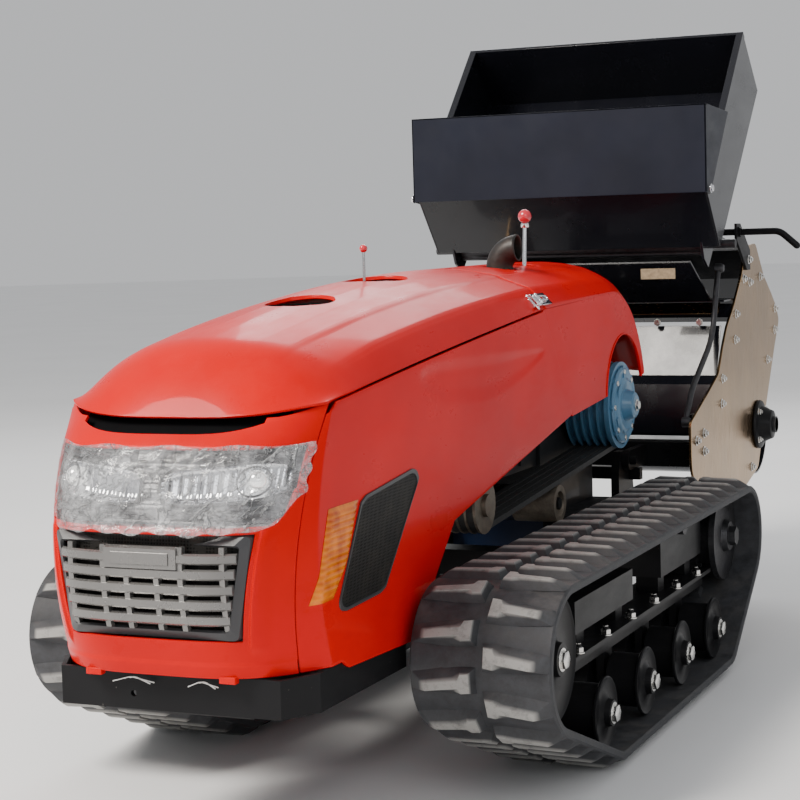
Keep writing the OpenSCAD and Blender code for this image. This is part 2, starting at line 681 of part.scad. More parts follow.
// ---------------------------------------------------------------- bonnet
// The nose's profile at height z, its extra roll-back over the lamps, which
// fades out towards the sides, and its sweep across x
function nose_mid(z) = nose_y + 0.0014 * pow(z - 450, 2);
function nose_roll(z) = 0.006 * pow(max(0, z - 570), 2);
function nose_at(x, z) = nose_mid(z) + nose_roll(z)
    + (nose_sweep - nose_roll(z)) * pow(abs(x) / hood_half, 4);
// Half width at which the nose meets the side panels, and the face's x at (y, z)
function nose_edge(z) = hood_half - 27 + 0.063 * (z - 300);
function face_x(y, z) = hood_half * pow(min(1, max(0, y - nose_mid(z) - nose_roll(z))
    / (nose_sweep - nose_roll(z))), 0.25);
function steps(a, b, n) = [for (i = [0:n]) a + (b - a) * i / n];
nose_z0 = hinge_z - 6;
nose_z1 = nose_z0 + 336;
slot_top = nose_z1 + 26;
nose_t = sheet_t + 2;
lamp_z0 = 506;
lamp_z1 = 611;
grille_z0 = 345;
grille_z1 = 496;
grille_low = 138;
grille_high = 161;
function grille_half(z) = grille_low + (grille_high - grille_low)
    * min(1, max(0, (z - grille_z0) / (grille_z1 - grille_z0)));
// Columns of the nose, from the middle out: the grille's edge is column 4 and
// the headlamp's edge column 8
lamp_rim = 7;
function nose_column(k, z) = k <= 4 ? grille_half(z) * k / 4
    : k <= 8 ? grille_half(z) + (nose_edge(z) - lamp_rim - grille_half(z)) * (k - 4) / 4
    : nose_edge(z) - seam_gap / 2;
nose_rows = [nose_z0, 308, 326, grille_z0, 375, 405, 435, 465, grille_z1, lamp_z0, 540, 575,
    lamp_z1, nose_z1, slot_top];
// A grid of points on the nose, d behind its face
function nose_grid(cols, rows, d) = [for (k = cols) [for (z = rows)
    let (x = sign(k) * nose_column(abs(k), z)) [x, nose_at(x, z) + d, z]]];
module nose_panel() {
    cols = [for (k = [-9:9]) k];
    low = search(grille_z0, nose_rows)[0];
    high = search(grille_z1, nose_rows)[0];
    lamp = search(lamp_z0, nose_rows)[0];
    top = search(lamp_z1, nose_rows)[0];
    color(red) {
        sheet(nose_grid(cols, nose_rows, 0), nose_grid(cols, nose_rows, nose_t),
            function (i, j) let (k = abs(8.5 - i))
                !(k < 4 && j >= low && j < high) && !(k < 8 && j >= lamp && j < top)
                && !(k < 4 && j > top));
        // Hinge tabs
        both() difference() {
            union() {
                bar_x(8, hinge_x + 10, hinge_x + 17, hinge_y, hinge_z);
                box([hinge_x + 10, nose_at(hinge_x + 17, hinge_z) + 3, hinge_z - 4],
                    [hinge_x + 17, hinge_y + 2, hinge_z + 14]);
            }
            bar_x(hinge_pin + run_gap, hinge_x - 20, hinge_x + 40, hinge_y, hinge_z, 32);
        }
        // Posts up to the bonnet top
        both() box([post_x - 5, post_y, nose_z1 - 8],
            [post_x + 5, post_y + 24, hood_at(post_x, post_y) - sheet_t - seat_gap]);
    }
}
post_x = 170;
post_y = nose_at(post_x, nose_z1) + 3;
module headlamp_lens() {
    cols = [for (k = [-8:8]) k];
    rows = steps(lamp_z0 + seat_gap, lamp_z1 - seat_gap, 4);
    trim = (nose_edge(lamp_z1) - lamp_rim - seat_gap) / (nose_edge(lamp_z1) - lamp_rim);
    color([0.85, 0.87, 0.9, 0.5])
        sheet([for (row = nose_grid(cols, rows, -2)) [for (p = row) [p[0] * trim, p[1], p[2]]]],
            [for (row = nose_grid(cols, rows, 2)) [for (p = row) [p[0] * trim, p[1], p[2]]]]);
}
lamp_x = 104;
module headlamp_unit() {
    w = nose_edge(lamp_z1) - 14;
    seat = lamp_z1 + 6;
    plan = concat([for (x = steps(-w, w, 24)) [x, nose_at(x, seat) + nose_t + seat_gap]],
        [[w, nose_at(w, seat) + 24], [w - 50, nose_at(w, seat) + 34],
        [50 - w, nose_at(w, seat) + 34], [-w, nose_at(w, seat) + 24]]);
    color("#55585c") difference() {
        translate([0, 0, lamp_z0 + 4]) linear_extrude(lamp_z1 - lamp_z0 - 2) polygon(plan);
        both() translate([lamp_x, nose_y - 20, 560]) rotate([-90, 0, 0])
            cylinder(r = 34, h = 110, $fn = 48);
    }
}
slats = 5;
module grille() {
    w = 13;
    z0 = grille_z0 + seat_gap;
    z1 = grille_z1 - seat_gap;
    pitch = (z1 - z0 - w) / (slats + 1);
    rows = [z0, for (k = [0:slats]) each [z0 + w + k * pitch, z0 + (k + 1) * pitch], z1];
    // Columns as shares of the grille's half width: frame, plate and frame
    cols = [-1, -0.92, -0.75, -0.5, -0.3, 0, 0.3, 0.5, 0.75, 0.92, 1];
    function grid(d) = [for (c = cols) [for (z = rows)
        let (x = c * (grille_half(z) - seat_gap)) [x, nose_at(x, z) + d, z]]];
    last = len(rows) - 2;
    color("#38393c") sheet(grid(-4), grid(8), function (i, j)
        i == 0 || i == 9 || j % 2 == 0 || (j == last - 1 && abs(i - 4.5) < 1));
}

// Bonnet top: crown and edge heights along the machine
lip_y = nose_y + 85;
lip_z = 660;
function crown_at(y) = crown_z - 0.000103 * pow(y - seam_y, 2);
function edge_at(y) = shoulder_z + 0.082 * (y - seam_y) - 0.000015 * pow(y - seam_y, 2);
function lip_at(x) = lip_y + 62 * pow(abs(x) / hood_half, 4);
function lip_drop(d) = d > 140 ? 0 : 70 * pow(1 - d / 140, 2.2);
function hood_at(x, y) = edge_at(y) + (crown_at(y) - lip_drop(y - lip_at(x)) - edge_at(y))
    * (1 - pow(abs(x) / hood_half, 2.8));
function hood_point(x, u, dz) = let (y = lip_at(x) + (seam_y - lip_at(x)) * pow(u, 1.5))
    [x, y, hood_at(x, y) + dz];
latch_x = hood_half - 11;
module hood_top() {
    rows = 16;
    color(red) {
        difference() {
            sheet([for (x = steps(-hood_half, hood_half, 24)) [for (u = steps(0, 1, rows))
                    hood_point(x, u, 0)]],
                [for (x = steps(-hood_half, hood_half, 24)) [for (u = steps(0, 1, rows))
                    hood_point(x, u, -sheet_t)]]);
            for (y = filler_y)
                translate([0, y, 700]) cylinder(r = filler_r, h = 200, $fn = 64);
        }
        // Hinge barrel of each latch, with its pin
        both() at_latch() {
            box([-3, latch_pin[1] - 4, -9], [latch_pin[0], latch_pin[1] + 4, 9]);
            translate([latch_pin[0], latch_pin[1], -9]) cylinder(r = 4, h = 18, $fn = 32);
            translate([latch_pin[0], latch_pin[1], -15]) cylinder(r = 2, h = 30, $fn = 24);
        }
    }
}
filler_y = [nose_y + 519, nose_y + 815];
// The latch's own frame: +X out of the bonnet's shoulder, Y across the seam
module at_latch() {
    translate([latch_x, seam_y, hood_at(latch_x, seam_y)]) rotate([0, -44, 0]) children();
}
latch_pin = [5, -43];
module hood_latch(side) {
    color("#c8c8cc") on_side(side) at_latch() {
        difference() {
            union() {
                box([9.5, latch_pin[1] - 4, -14], [13, 26, 14]);
                for (z = [-14, 9.5]) {
                    box([latch_pin[0], latch_pin[1] - 4, z], [13, latch_pin[1] + 4, z + 4.5]);
                    translate([latch_pin[0], latch_pin[1], z]) cylinder(r = 4, h = 4.5, $fn = 32);
                }
                box([12, -12, -7], [16, 14, 7]);
                // Hook behind the keeper block
                box([3, 18 + seat_gap, -9], [10, 26, 9]);
            }
            box([-5, -30, -5], [20, -18, 5]);
            translate([latch_pin[0], latch_pin[1], -20])
                cylinder(r = 2 + run_gap, h = 40, $fn = 24);
        }
    }
}
// Side panels: a flat sheet, and a corner that follows the nose round to its seam
function panel_top(y) = edge_at(y) - sheet_t - seam_gap;
seam_lean = 148;
seam_foot = 545;
corner_y = nose_y + 195;
corner_lap = 4;
panel_z0 = nose_z0 - 14;
corner_top = panel_top(corner_y) - 3;
module panel_outline() {
    top = [for (y = steps(corner_y, seam_y - seam_gap, 8)) [y, panel_top(y)]];
    polygon(concat([[corner_y, panel_z0]], [[corner_y, corner_top]], [for (p = top) if (p[0] > corner_y) p],
        [[seam_y + seam_lean - seam_gap, seam_foot], [-700, 430], [-790, 348], [-838, 266],
        [corner_y + 10, panel_z0]]));
}
// The corner's sheet is a little thinner, so that it laps inside the flat one
function corner_row(z, n) = let (y0 = nose_at(nose_edge(z), z) + seam_gap)
    [for (q = steps(0, 1, n)) let (y = y0 + (corner_y + corner_lap - y0) * pow(q, 1.3))
        [face_x(y, z) - seat_gap, y, z]];
module panel_corner() {
    n = 10;
    rows = steps(corner_top, nose_z0, 12);
    outer = [for (z = rows) corner_row(z, n)];
    inner = [for (row = outer) [for (k = [0:n]) let (p = row[k], f = k / n)
        [p[0] - (sheet_t - 2 * seat_gap) * f, p[1] + nose_t * (1 - f), p[2]]]];
    sheet(outer, inner);
}
module vent_outline(grow = 0) {
    polygon([[-1062 - grow, 512], [-868, 538 + grow], [-850 + grow, 518], [-985, 368],
        [-1100, 354 - grow], [-1120 - grow, 370]]);
}
module side_panel(side) {
    color(red) on_side(side) {
        yz(hood_half - sheet_t, hood_half) difference() {
            panel_outline();
            vent_outline();
        }
        panel_corner();
    }
}
module vent_meshes() {
    color("#151515") both() yz(hood_half - sheet_t, hood_half - 2)
        vent_outline(-seat_gap);
}
// Marker lamps lie on the corner, from a front edge to a slanting rear edge
module marker_lamps() {
    rows = steps(514, 382, 8);
    function lamp_y(z, q) = let (rear = -1076 - (514 - z) * 0.66, front = -1172 - (514 - z) * 0.4)
        front + (rear - front) * q;
    function grid(d) = [for (z = rows) [for (q = steps(0, 1, 8)) let (y = lamp_y(z, q))
        [face_x(y, z) + d, y - d * 0.5 * (1 - q), z]]];
    color("#f29a1f") both() sheet(grid(4), grid(seat_gap));
}

// Rear cover: a sheet swept over the engine, two cheeks with a wheel arch each
cover_y0 = seam_y + seam_gap;
function bez(p, t) = pow(1 - t, 3) * p[0] + 3 * pow(1 - t, 2) * t * p[1]
    + 3 * (1 - t) * t * t * p[2] + pow(t, 3) * p[3];
cover_mid = [[250, crown_z + 2], [420, crown_z + 2], [480, 760], [482, 590]];
cover_edge = [[180, shoulder_z + 13], [300, shoulder_z + 13], [372, 680], [400, 592]];
arch_at = [255, 557];
arch_r = 121;
// Point of a cover line: the straight part for t < 0.4, then the curve
function cover_line(p, z0, t) = t < 0.4
    ? [cover_y0 + (p[0][0] - cover_y0) * t / 0.4, z0 + (p[0][1] - z0) * t / 0.4]
    : bez(p, (t - 0.4) / 0.6);
function cover_point(x, t, inset) =
    let (s = pow(abs(x) / hood_half, 2.8), m = cover_line(cover_mid, crown_z, t),
        e = cover_line(cover_edge, shoulder_z, t), k = min(1, max(0, t - 0.4) / 0.5))
    [x, m[0] + (e[0] - m[0]) * s - inset * k, m[1] + (e[1] - m[1]) * s - inset * (1 - k)];
module rear_cover() {
    color(red) {
        difference() {
            sheet([for (x = steps(-hood_half, hood_half, 20)) [for (t = steps(0, 1, 20))
                    cover_point(x, t, 0)]],
                [for (x = steps(-hood_half, hood_half, 20)) [for (t = steps(0, 1, 20))
                    cover_point(x, t, sheet_t)]]);
            translate([exhaust_at[0], exhaust_at[1], 750])
                cylinder(r = exhaust_r + 12, h = 150, $fn = 48);
            box([stop_at[0] - 10, stop_at[1] - 32, 760], [stop_at[0] + 10, stop_at[1] + 62, 900]);
        }
        both() yz(hood_half - sheet_t, hood_half) difference() {
            polygon(concat([for (t = steps(0, 1, 20)) cover_line(cover_edge, shoulder_z - 1, t)],
                [[400, 585], [-90, 540], [seam_y + seam_lean, seam_foot]]));
            translate(arch_at) circle(r = arch_r, $fn = 72);
            polygon([[140, 500], [600, 500], [600, 570], [360, 570], [140, 545]]);
        }
        // Keeper block of each latch
        both() at_latch() box([-3, 6, -9], [7, 18, 9]);
    }
    // A stay at the rear carries the cover on the engine's crankcase
    color(black) box([-40, crank_y + 125, 616], [40, cover_mid[3][0] - 2, 624]);
}

// ---------------------------------------------------------------- implement
// Hopper outline in (y, z): rear top, rear bend, throat rear and front, hinge
hop_rear_top = [836, hopper_top];
hop_bend = [975, 1215];
hop_throat_r = [653, 902];
hop_throat_f = [596, 852];
flap_axis = [484, 979];
wall_in = hopper_half - hopper_t;
function unit(a, b) = (b - a) / norm(b - a);
// A sheet from a to b across the hopper, its thickness on the left of a -> b
module slab(a, b, t, x0, x1) {
    d = unit(a, b);
    n = [-d[1], d[0]] * t;
    yz(x0, x1) polygon([a, b, b + n, a + n]);
}
flap_pin = 6;
module hopper() {
    rim = 18;
    down = unit(hop_rear_top, hop_bend);
    lap = [down[1], -down[0]] * 2;
    color("#16171b") {
        both() {
            yz(wall_in, hopper_half)
                polygon([hop_rear_top, flap_axis, hop_throat_f, hop_throat_r, hop_bend]);
            bar_x(12, wall_in, hopper_half, flap_axis[0] + 2, flap_axis[1]);
        }
        // Walls across: front foot, rear slope, rear top
        slab(hop_throat_f, flap_axis, -hopper_t, -wall_in - 1, wall_in + 1);
        slab(hop_bend, hop_throat_r, -hopper_t, -wall_in - 1, wall_in + 1);
        slab(hop_rear_top, hop_bend, -hopper_t, -wall_in - 1, wall_in + 1);
        // Folded rim along the rear top edge
        slab(hop_rear_top + lap, hop_rear_top + lap + down * rim, hopper_t + 2,
            -hopper_half, hopper_half);
        // Throat plates under the hopper, around the metering roller
        both() yz(wall_in - 40, wall_in - 34) difference() {
            polygon([hop_throat_f + [-10, 12], hop_throat_r + [6, 6], [700, 862], [640, 806],
                [604, 826]]);
            translate(meter_at) circle(r = meter_shaft + run_gap, $fn = 32);
        }
        both() bar_x(flap_pin, wall_in, hopper_half + hopper_t + 6, flap_axis[0] + 2, flap_axis[1], 32);
    }
}
meter_at = [648, 858];
meter_shaft = 10;
module metering_shaft() {
    half = wall_in - 42;
    color("#8d8a84") translate([0, meter_at[0], meter_at[1]]) {
        bar_x(meter_shaft, -wall_in - 26, wall_in + 26, 0, 0, 32);
        difference() {
            bar_x(meter_r, -half, half, 0, 0);
            for (k = [0:7]) rotate([k * 45, 0, 0])
                bar_x(7, -half - 1, half + 1, 0, meter_r + 2, 20);
        }
    }
}
module hopper_flap() {
    d = [flap_axis[0] - 14, flap_axis[1]];
    top = flap_axis[1] + flap_h;
    wing = side_gap + hopper_half;
    color("#2c2f3a") {
        box([-wing - hopper_t, d[0], d[1] - 8], [wing + hopper_t, d[0] + hopper_t, top]);
        box([-wing - hopper_t, d[0], top - hopper_t], [wing + hopper_t, d[0] + 14, top]);
        both() difference() {
            yz(wing, wing + hopper_t) polygon([[d[0], d[1] - 8], [d[0], top],
                [d[0] + 14, top], [668, 1151], [flap_axis[0] + 20, flap_axis[1] - 12]]);
            bar_x(flap_pin + run_gap, 0, 600, flap_axis[0] + 2, flap_axis[1], 32);
        }
    }
}
// Stainless side plates: the outline runs from the top front, over the rear
plate_in = plate_half - plate_t;
rotor_at = [1084, 407];
bracket_x = plate_half + 6;
handle_at = [887, 882];
handle_r = 8;
module plate_outline() {
    polygon([[978, 846], [1081, 853], [1165, 772], [1250, 722], [1300, 688], [1329, 652],
        [1274, 585], [1165, 434], [1080, 300], [938, 268], [720, 262], [520, 300], [462, 366],
        [458, 395], [458, 474], [613, 527], [705, 561], [749, 622], [790, 666], [855, 709],
        [938, 780]]);
}
module side_plate(side) {
    color(steel) on_side(side) {
        difference() {
            yz(plate_in, plate_half) plate_outline();
            bar_x(rotor_shaft_r + 4, 0, 600, rotor_at[0], rotor_at[1]);
        }
    }
    color(black) on_side(side) {
        difference() {
            yz(plate_half - 0.5, bracket_x) polygon([[868, 902], [906, 902], [1000, 838],
                [1000, 790], [968, 790], [868, 864]]);
            bar_x(handle_r + run_gap, 0, 600, handle_at[0], handle_at[1], 32);
        }
        bolt_x(9, 7, bracket_x - 0.5, 982, 815);
    }
}
module feed_handle() {
    bend = 406;
    tip = [446, handle_at[0], 847];
    color(black) {
        bar_x(handle_r, -plate_half - 14, bend + 4, handle_at[0], handle_at[1], 32);
        rod([bend, handle_at[0], handle_at[1]], tip, handle_r - 1);
        both() bar_x(12, bracket_x + side_gap, bracket_x + 6, handle_at[0], handle_at[1], 32);
    }
}
// Housing between the side plates: wall pieces follow the plates' front edges
module wall_between(a, b, t = 4, half = plate_in - side_gap / 2) {
    slab(a, b, t, -half, half);
}
module implement_housing() {
    chute = hop_throat_f + [10, -34];
    color("#1b1c1f") {
        wall_between([790, 722], chute, -4, plate_in - 30);
        wall_between([900, 722], [786, 722], -4);
        wall_between([708, 536], [672, 425], -4);
        wall_between([960, 838], [680.8, 884.6], -4);
        wall_between([1081, 846], [960, 840], -4);
    }
    color(steel) {
        wall_between([862, 712], [830, 684], -4);
        wall_between([758, 667], [708, 556], -4);
        wall_between([708, 556], [708, 536], -4);
    }
    // Rear hood of the housing and the trough under the rotor
    color("#1b1c1f") {
        wall_between([1160, 768], [1078, 846], 4);
        wall_between([1318, 652], [1160, 768], 4);
        yz(-plate_in + side_gap / 2, plate_in - side_gap / 2) difference() {
            translate(rotor_at) circle(r = rotor_r + 14, $fn = 96);
            translate(rotor_at) circle(r = rotor_r + 10, $fn = 96);
            polygon([rotor_at, rotor_at + [-320, 180], rotor_at + [0, 400],
                rotor_at + [400, 100], rotor_at + [200, -60]]);
        }
        wall_between([980, 345], [672, 425], 4);
    }
}
// Hitch frame: cross beam and two arms to the chassis, fixed to the housing
beam_y = hitch_y + 120;
module hitch_frame() {
    arm0 = rail_out + side_gap - 4;
    color(black) difference() {
        union() {
            box([-plate_in + side_gap, beam_y, arm_under - 6],
                [plate_in - side_gap, beam_y + 60, arm_under + 49]);
            both() box([arm0, hitch_y - 6, arm_under], [arm0 + 16, beam_y + 1, arm_under + 44]);
            both() bar_x(22, arm0, arm0 + 16, hitch_y, hitch_z);
            both() for (z = [arm_under + 4, arm_under + 38], x = [212, 262])
                translate([x, beam_y + 1, z]) rotate([90, 0, 0]) cylinder(r = 9, h = 10, $fn = 6);
            both() box([plate_in - 40, beam_y + 20, arm_under + 48],
                [plate_in - 34, beam_y + 56, arm_under + 110]);
        }
        both() bar_x(pin_r + run_gap, 100, 250, hitch_y, hitch_z);
    }
}
module rotor() {
    half = plate_in - 8;
    color("#4a4a4c") translate([0, rotor_at[0], rotor_at[1]]) {
        bar_x(rotor_shaft_r, -plate_half - 46, plate_half + 46, 0, 0);
        bar_x(34, -half, half, 0, 0);
        for (k = [0:3]) rotate([45 + k * 90, 0, 0]) box([-half, -3, 30], [half, 3, rotor_r]);
    }
}
module bearing_housings() {
    color(black) both() difference() {
        union() {
            bar_x(52, plate_half, plate_half + 12, rotor_at[0], rotor_at[1]);
            bar_x(34, plate_half + 11, plate_half + 34, rotor_at[0], rotor_at[1]);
            for (k = [0:3]) translate([0, rotor_at[0], rotor_at[1]]) rotate([k * 90 + 45, 0, 0])
                bolt_x(8, 9, plate_half + 11.5, 0, 40);
        }
        bar_x(rotor_shaft_r + run_gap, 0, 600, rotor_at[0], rotor_at[1]);
    }
}
brace_w = 12;
module brace_rods() {
    x = plate_in - 20;
    pts = [[792, 800], [774, 764], [738, 664], [697, 624], [544, 540], [486, 472]];
    last = len(pts) - 1;
    color("#3c3b39") both() {
        for (i = [0:last - 1]) let (d = pts[i + 1] - pts[i])
            translate([x, pts[i][0], pts[i][1]]) rotate([atan2(d[1], d[0]), 0, 0])
                box([0, 0, -brace_w / 2], [brace_w, norm(d), brace_w / 2]);
        for (i = [0:last]) bar_x(brace_w / 2 + 1, x - 1, x + brace_w + 1, pts[i][0], pts[i][1], 32);
        bar_x(5, x + brace_w, plate_in - seat_gap, pts[last][0], pts[last][1], 32);
        bar_x(5, x + brace_w, plate_in - seat_gap, pts[0][0], pts[0][1], 32);
    }
}
module implement_bolts() {
    spots = [[952, 770], [1120, 770], [1010, 760], [1280, 684], [1272, 630],
        [871, 690], [860, 630], [735, 548], [726, 491], [563, 440], [563, 400], [500, 430],
        [600, 320], [800, 290], [1010, 310]];
    color("#d8d6d2") both() for (p = spots) {
        bolt_x(9, 7, plate_half, p[0], p[1]);
        bar_x(5, plate_half + 6, plate_half + 12, p[0], p[1], 20);
    }
}

track_belt(1);  // track_belt_left
track_belt(-1);  // track_belt_right
track_frame(1);  // track_frame_left
track_frame(-1);  // track_frame_right
idler_yoke(1);  // idler_yoke_left
idler_yoke(-1);  // idler_yoke_right
front_idler(1);  // front_idler_left
front_idler(-1);  // front_idler_right
drive_sprocket(1);  // drive_sprocket_left
drive_sprocket(-1);  // drive_sprocket_right
track_roller(1, 0);  // track_roller_left_1
track_roller(1, 1);  // track_roller_left_2
track_roller(1, 2);  // track_roller_left_3
track_roller(1, 3);  // track_roller_left_4
track_roller(-1, 0);  // track_roller_right_1
track_roller(-1, 1);  // track_roller_right_2
track_roller(-1, 2);  // track_roller_right_3
track_roller(-1, 3);  // track_roller_right_4
carrier_roller(1);  // carrier_roller_left
carrier_roller(-1);  // carrier_roller_right
chassis_frame();
front_bumper();
skid_guard();
gearbox();
axle_tubes();
engine_block();
radiator_tank();
water_float();
fuel_tank();
clutch_pulley();
drive_belts();
countershaft_pulley();
tension_pulley();
tension_arm();
exhaust_pipe();
nose_panel();
hood_top();
side_panel(1);  // side_panel_left
side_panel(-1);  // side_panel_right
rear_cover();
headlamp_unit();
headlamp_lens();
grille();
marker_lamps();
vent_meshes();
hood_latch(1);  // hood_latch_left
hood_latch(-1);  // hood_latch_right
stop_lever();
hopper();
hopper_flap();
feed_handle();
metering_shaft();
side_plate(1);  // side_plate_left
side_plate(-1);  // side_plate_right
implement_housing();
hitch_frame();
rotor();
bearing_housings();
brace_rods();
implement_bolts();
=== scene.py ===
"""Looks of a small tracked field machine, built round its packed frame."""

import json
import math

import bmesh
import bpy
import numpy as np
from bpy.props import FloatProperty, FloatVectorProperty, IntProperty, PointerProperty
from mathutils import Matrix


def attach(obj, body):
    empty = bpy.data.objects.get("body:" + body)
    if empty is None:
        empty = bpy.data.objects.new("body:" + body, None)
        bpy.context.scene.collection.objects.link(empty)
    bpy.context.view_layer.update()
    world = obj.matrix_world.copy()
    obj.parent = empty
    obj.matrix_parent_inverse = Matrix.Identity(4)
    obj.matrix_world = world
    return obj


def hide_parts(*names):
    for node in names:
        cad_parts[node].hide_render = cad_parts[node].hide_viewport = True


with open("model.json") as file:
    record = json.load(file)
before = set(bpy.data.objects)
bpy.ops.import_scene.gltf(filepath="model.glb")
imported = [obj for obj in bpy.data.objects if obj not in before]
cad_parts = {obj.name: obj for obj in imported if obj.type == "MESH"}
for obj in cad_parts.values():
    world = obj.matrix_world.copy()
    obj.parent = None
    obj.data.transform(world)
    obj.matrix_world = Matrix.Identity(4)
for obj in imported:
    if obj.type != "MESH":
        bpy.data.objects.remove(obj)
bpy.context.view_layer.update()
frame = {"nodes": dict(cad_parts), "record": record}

bl_info = {
    "name": "Tracked field machine",
    "version": (1, 0, 0),
    "blender": (4, 5, 0),
    "location": "View3D > Sidebar > Field machine",
    "description": "Builds the painted sheets, tracks, lamps and hopper of a small tracked field machine",
    "category": "Object",
}

MM = 0.001
# Signs and names of the machine's two sides
SIDES = ((1, "left"), (-1, "right"))


# ------------------------------------------------------------------ settings
def length(name, text, value):
    return FloatProperty(name=name, description=text, default=value, unit="LENGTH")


def tint(name, text, value):
    return FloatVectorProperty(name=name, description=text, subtype="COLOR", size=3, default=value)


class MachineSizes(bpy.types.PropertyGroup):
    """Sizes that a user would change, in metres"""

    sheet: length("Sheet thickness", "Thickness of the bonnet's painted sheets", 0.004)
    edge: length("Edge rounding", "Radius of the rounded edges of plates and sheets", 0.0009)
    slats: IntProperty(name="Grille slats", description="Number of slats in the front grille", default=5)
    lug_pitch: length("Tread pitch", "Distance from one tread bar to the next", 0.072)


class MachineColours(bpy.types.PropertyGroup):
    """Colours that a user would change"""

    bonnet: tint("Bonnet", "Paint of the bonnet", (0.60, 0.0, 0.001))
    frame: tint("Frame", "Paint of the chassis and the track frames", (0.010, 0.010, 0.011))
    hopper: tint("Hopper", "Paint of the hopper", (0.007, 0.0075, 0.011))
    flap: tint("Flap", "Paint of the folding flap", (0.012, 0.014, 0.023))
    pulley: tint("Clutch pulley", "Paint of the clutch pulley", (0.075, 0.20, 0.33))
    rubber: tint("Track rubber", "Rubber of the tracks", (0.022, 0.023, 0.026))


def sizes():
    return bpy.context.scene.machine_sizes


def colours():
    return bpy.context.scene.machine_colours


# ------------------------------------------------------------------ finishes
def new_finish(name):
    """A fresh material with its shader, and the Object coordinates its patterns read"""
    mat = bpy.data.materials.new(name)
    mat.use_nodes = True
    tree = mat.node_tree
    shader = tree.nodes["Principled BSDF"]
    place = tree.nodes.new("ShaderNodeTexCoord")
    return mat, tree, shader, place.outputs["Object"]


def feed(tree, socket, value):
    """Gives a socket a value: another socket, a number, or a colour or vector"""
    if isinstance(value, bpy.types.NodeSocket):
        tree.links.new(value, socket)
    elif isinstance(value, (int, float)):
        socket.default_value = value
    else:
        socket.default_value = (*value[:3], 1.0)


def dress(tree, shader, **inputs):
    """Feeds the shader's inputs, each named in small letters with _ for a space"""
    for key, value in inputs.items():
        feed(tree, shader.inputs[key.replace("_", " ").title().replace("Ior", "IOR")], value)


def noise(tree, where, scale, detail=4.0, rough=0.55, stretch=None):
    """A noise value on the object's own coordinates, which stretch may draw out along an axis"""
    if stretch is not None:
        mapping = tree.nodes.new("ShaderNodeMapping")
        mapping.inputs["Scale"].default_value = stretch
        tree.links.new(where, mapping.inputs["Vector"])
        where = mapping.outputs["Vector"]
    node = tree.nodes.new("ShaderNodeTexNoise")
    node.inputs["Scale"].default_value = scale
    node.inputs["Detail"].default_value = detail
    node.inputs["Roughness"].default_value = rough
    tree.links.new(where, node.inputs["Vector"])
    return node.outputs["Fac"]


def ranged(tree, value, low, high, a, b):
    """value between low and high, carried over to a..b and held there outside"""
    node = tree.nodes.new("ShaderNodeMapRange")
    for key, number in (("From Min", low), ("From Max", high), ("To Min", a), ("To Max", b)):
        node.inputs[key].default_value = number
    tree.links.new(value, node.inputs["Value"])
    return node.outputs["Result"]


def blended(tree, share, first, second, way="MIX"):
    """Colour first turning into second as share goes from 0 to 1"""
    node = tree.nodes.new("ShaderNodeMix")
    node.data_type = "RGBA"
    node.blend_type = way
    for socket, value in ((node.inputs[0], share), (node.inputs[6], first), (node.inputs[7], second)):
        feed(tree, socket, value)
    return node.outputs[2]


def worked(tree, kind, first, second):
    """One sum of two values, each a socket or a number"""
    node = tree.nodes.new("ShaderNodeMath")
    node.operation = kind
    for socket, value in zip(node.inputs, (first, second)):
        feed(tree, socket, value)
    return node.outputs[0]


def bumped(tree, shader, height, strength, distance):
    node = tree.nodes.new("ShaderNodeBump")
    node.inputs["Strength"].default_value = strength
    node.inputs["Distance"].default_value = distance
    tree.links.new(height, node.inputs["Height"])
    tree.links.new(node.outputs["Normal"], shader.inputs["Normal"])


def upward(tree):
    """How far a surface faces up, from 0 to 1"""
    geometry = tree.nodes.new("ShaderNodeNewGeometry")
    split = tree.nodes.new("ShaderNodeSeparateXYZ")
    tree.links.new(geometry.outputs["Normal"], split.inputs[0])
    return ranged(tree, split.outputs["Z"], 0.2, 0.95, 0.0, 1.0)


def paint(name, colour, rough=0.16, metal=0.0, coat=0.6, vary=0.10, dust_and_sheen=0.0, dust_and_sheen_tint=(0.30, 0.26, 0.21),
          peel=0.05, peel_scale=260.0, patch=7.0, chips=0.0, shine=0.5):
    """Sprayed paint: slow change of shade, an orange-peel bump, smears that dull the
    gloss, dust where it faces up, and small chips down to bare metal"""
    mat, tree, shader, where = new_finish(name)
    shade = noise(tree, where, patch, 3.0)
    dark = tuple(c * (1 - vary) for c in colour)
    light = tuple(min(1.0, c * (1 + vary)) for c in colour)
    base = blended(tree, ranged(tree, shade, 0.35, 0.65, 0.0, 1.0), dark, light)
    smear = noise(tree, where, 16.0, 8.0, 0.65, (1.0, 0.35, 1.0))
    gloss = ranged(tree, smear, 0.35, 0.75, rough, min(1.0, rough + 0.16))
    if dust_and_sheen:
        # tint laid where the surface faces up: dust, and for the red bonnet paint a peach painted highlight
        # on the tops
        dust_and_sheen_share = worked(tree, "MULTIPLY", upward(tree), ranged(
            tree, noise(tree, where, 23.0, 9.0, 0.7), 0.42, 0.72, 0.0, dust_and_sheen))
        base = blended(tree, dust_and_sheen_share, base, dust_and_sheen_tint)
        gloss = worked(tree, "ADD", gloss, worked(tree, "MULTIPLY", dust_and_sheen_share, 0.9))
    if chips:
        spots = ranged(tree, noise(tree, where, 120.0, 2.0, 0.9), 0.74, 0.76, 0.0, chips)
        base = blended(tree, spots, base, (0.22, 0.20, 0.18))
    dress(tree, shader, base_color=base, roughness=gloss, metallic=metal, coat_weight=coat,
          coat_roughness=0.06, specular_ior_level=shine)
    bumped(tree, shader, noise(tree, where, peel_scale, 2.0), peel, 0.0006)
    return mat


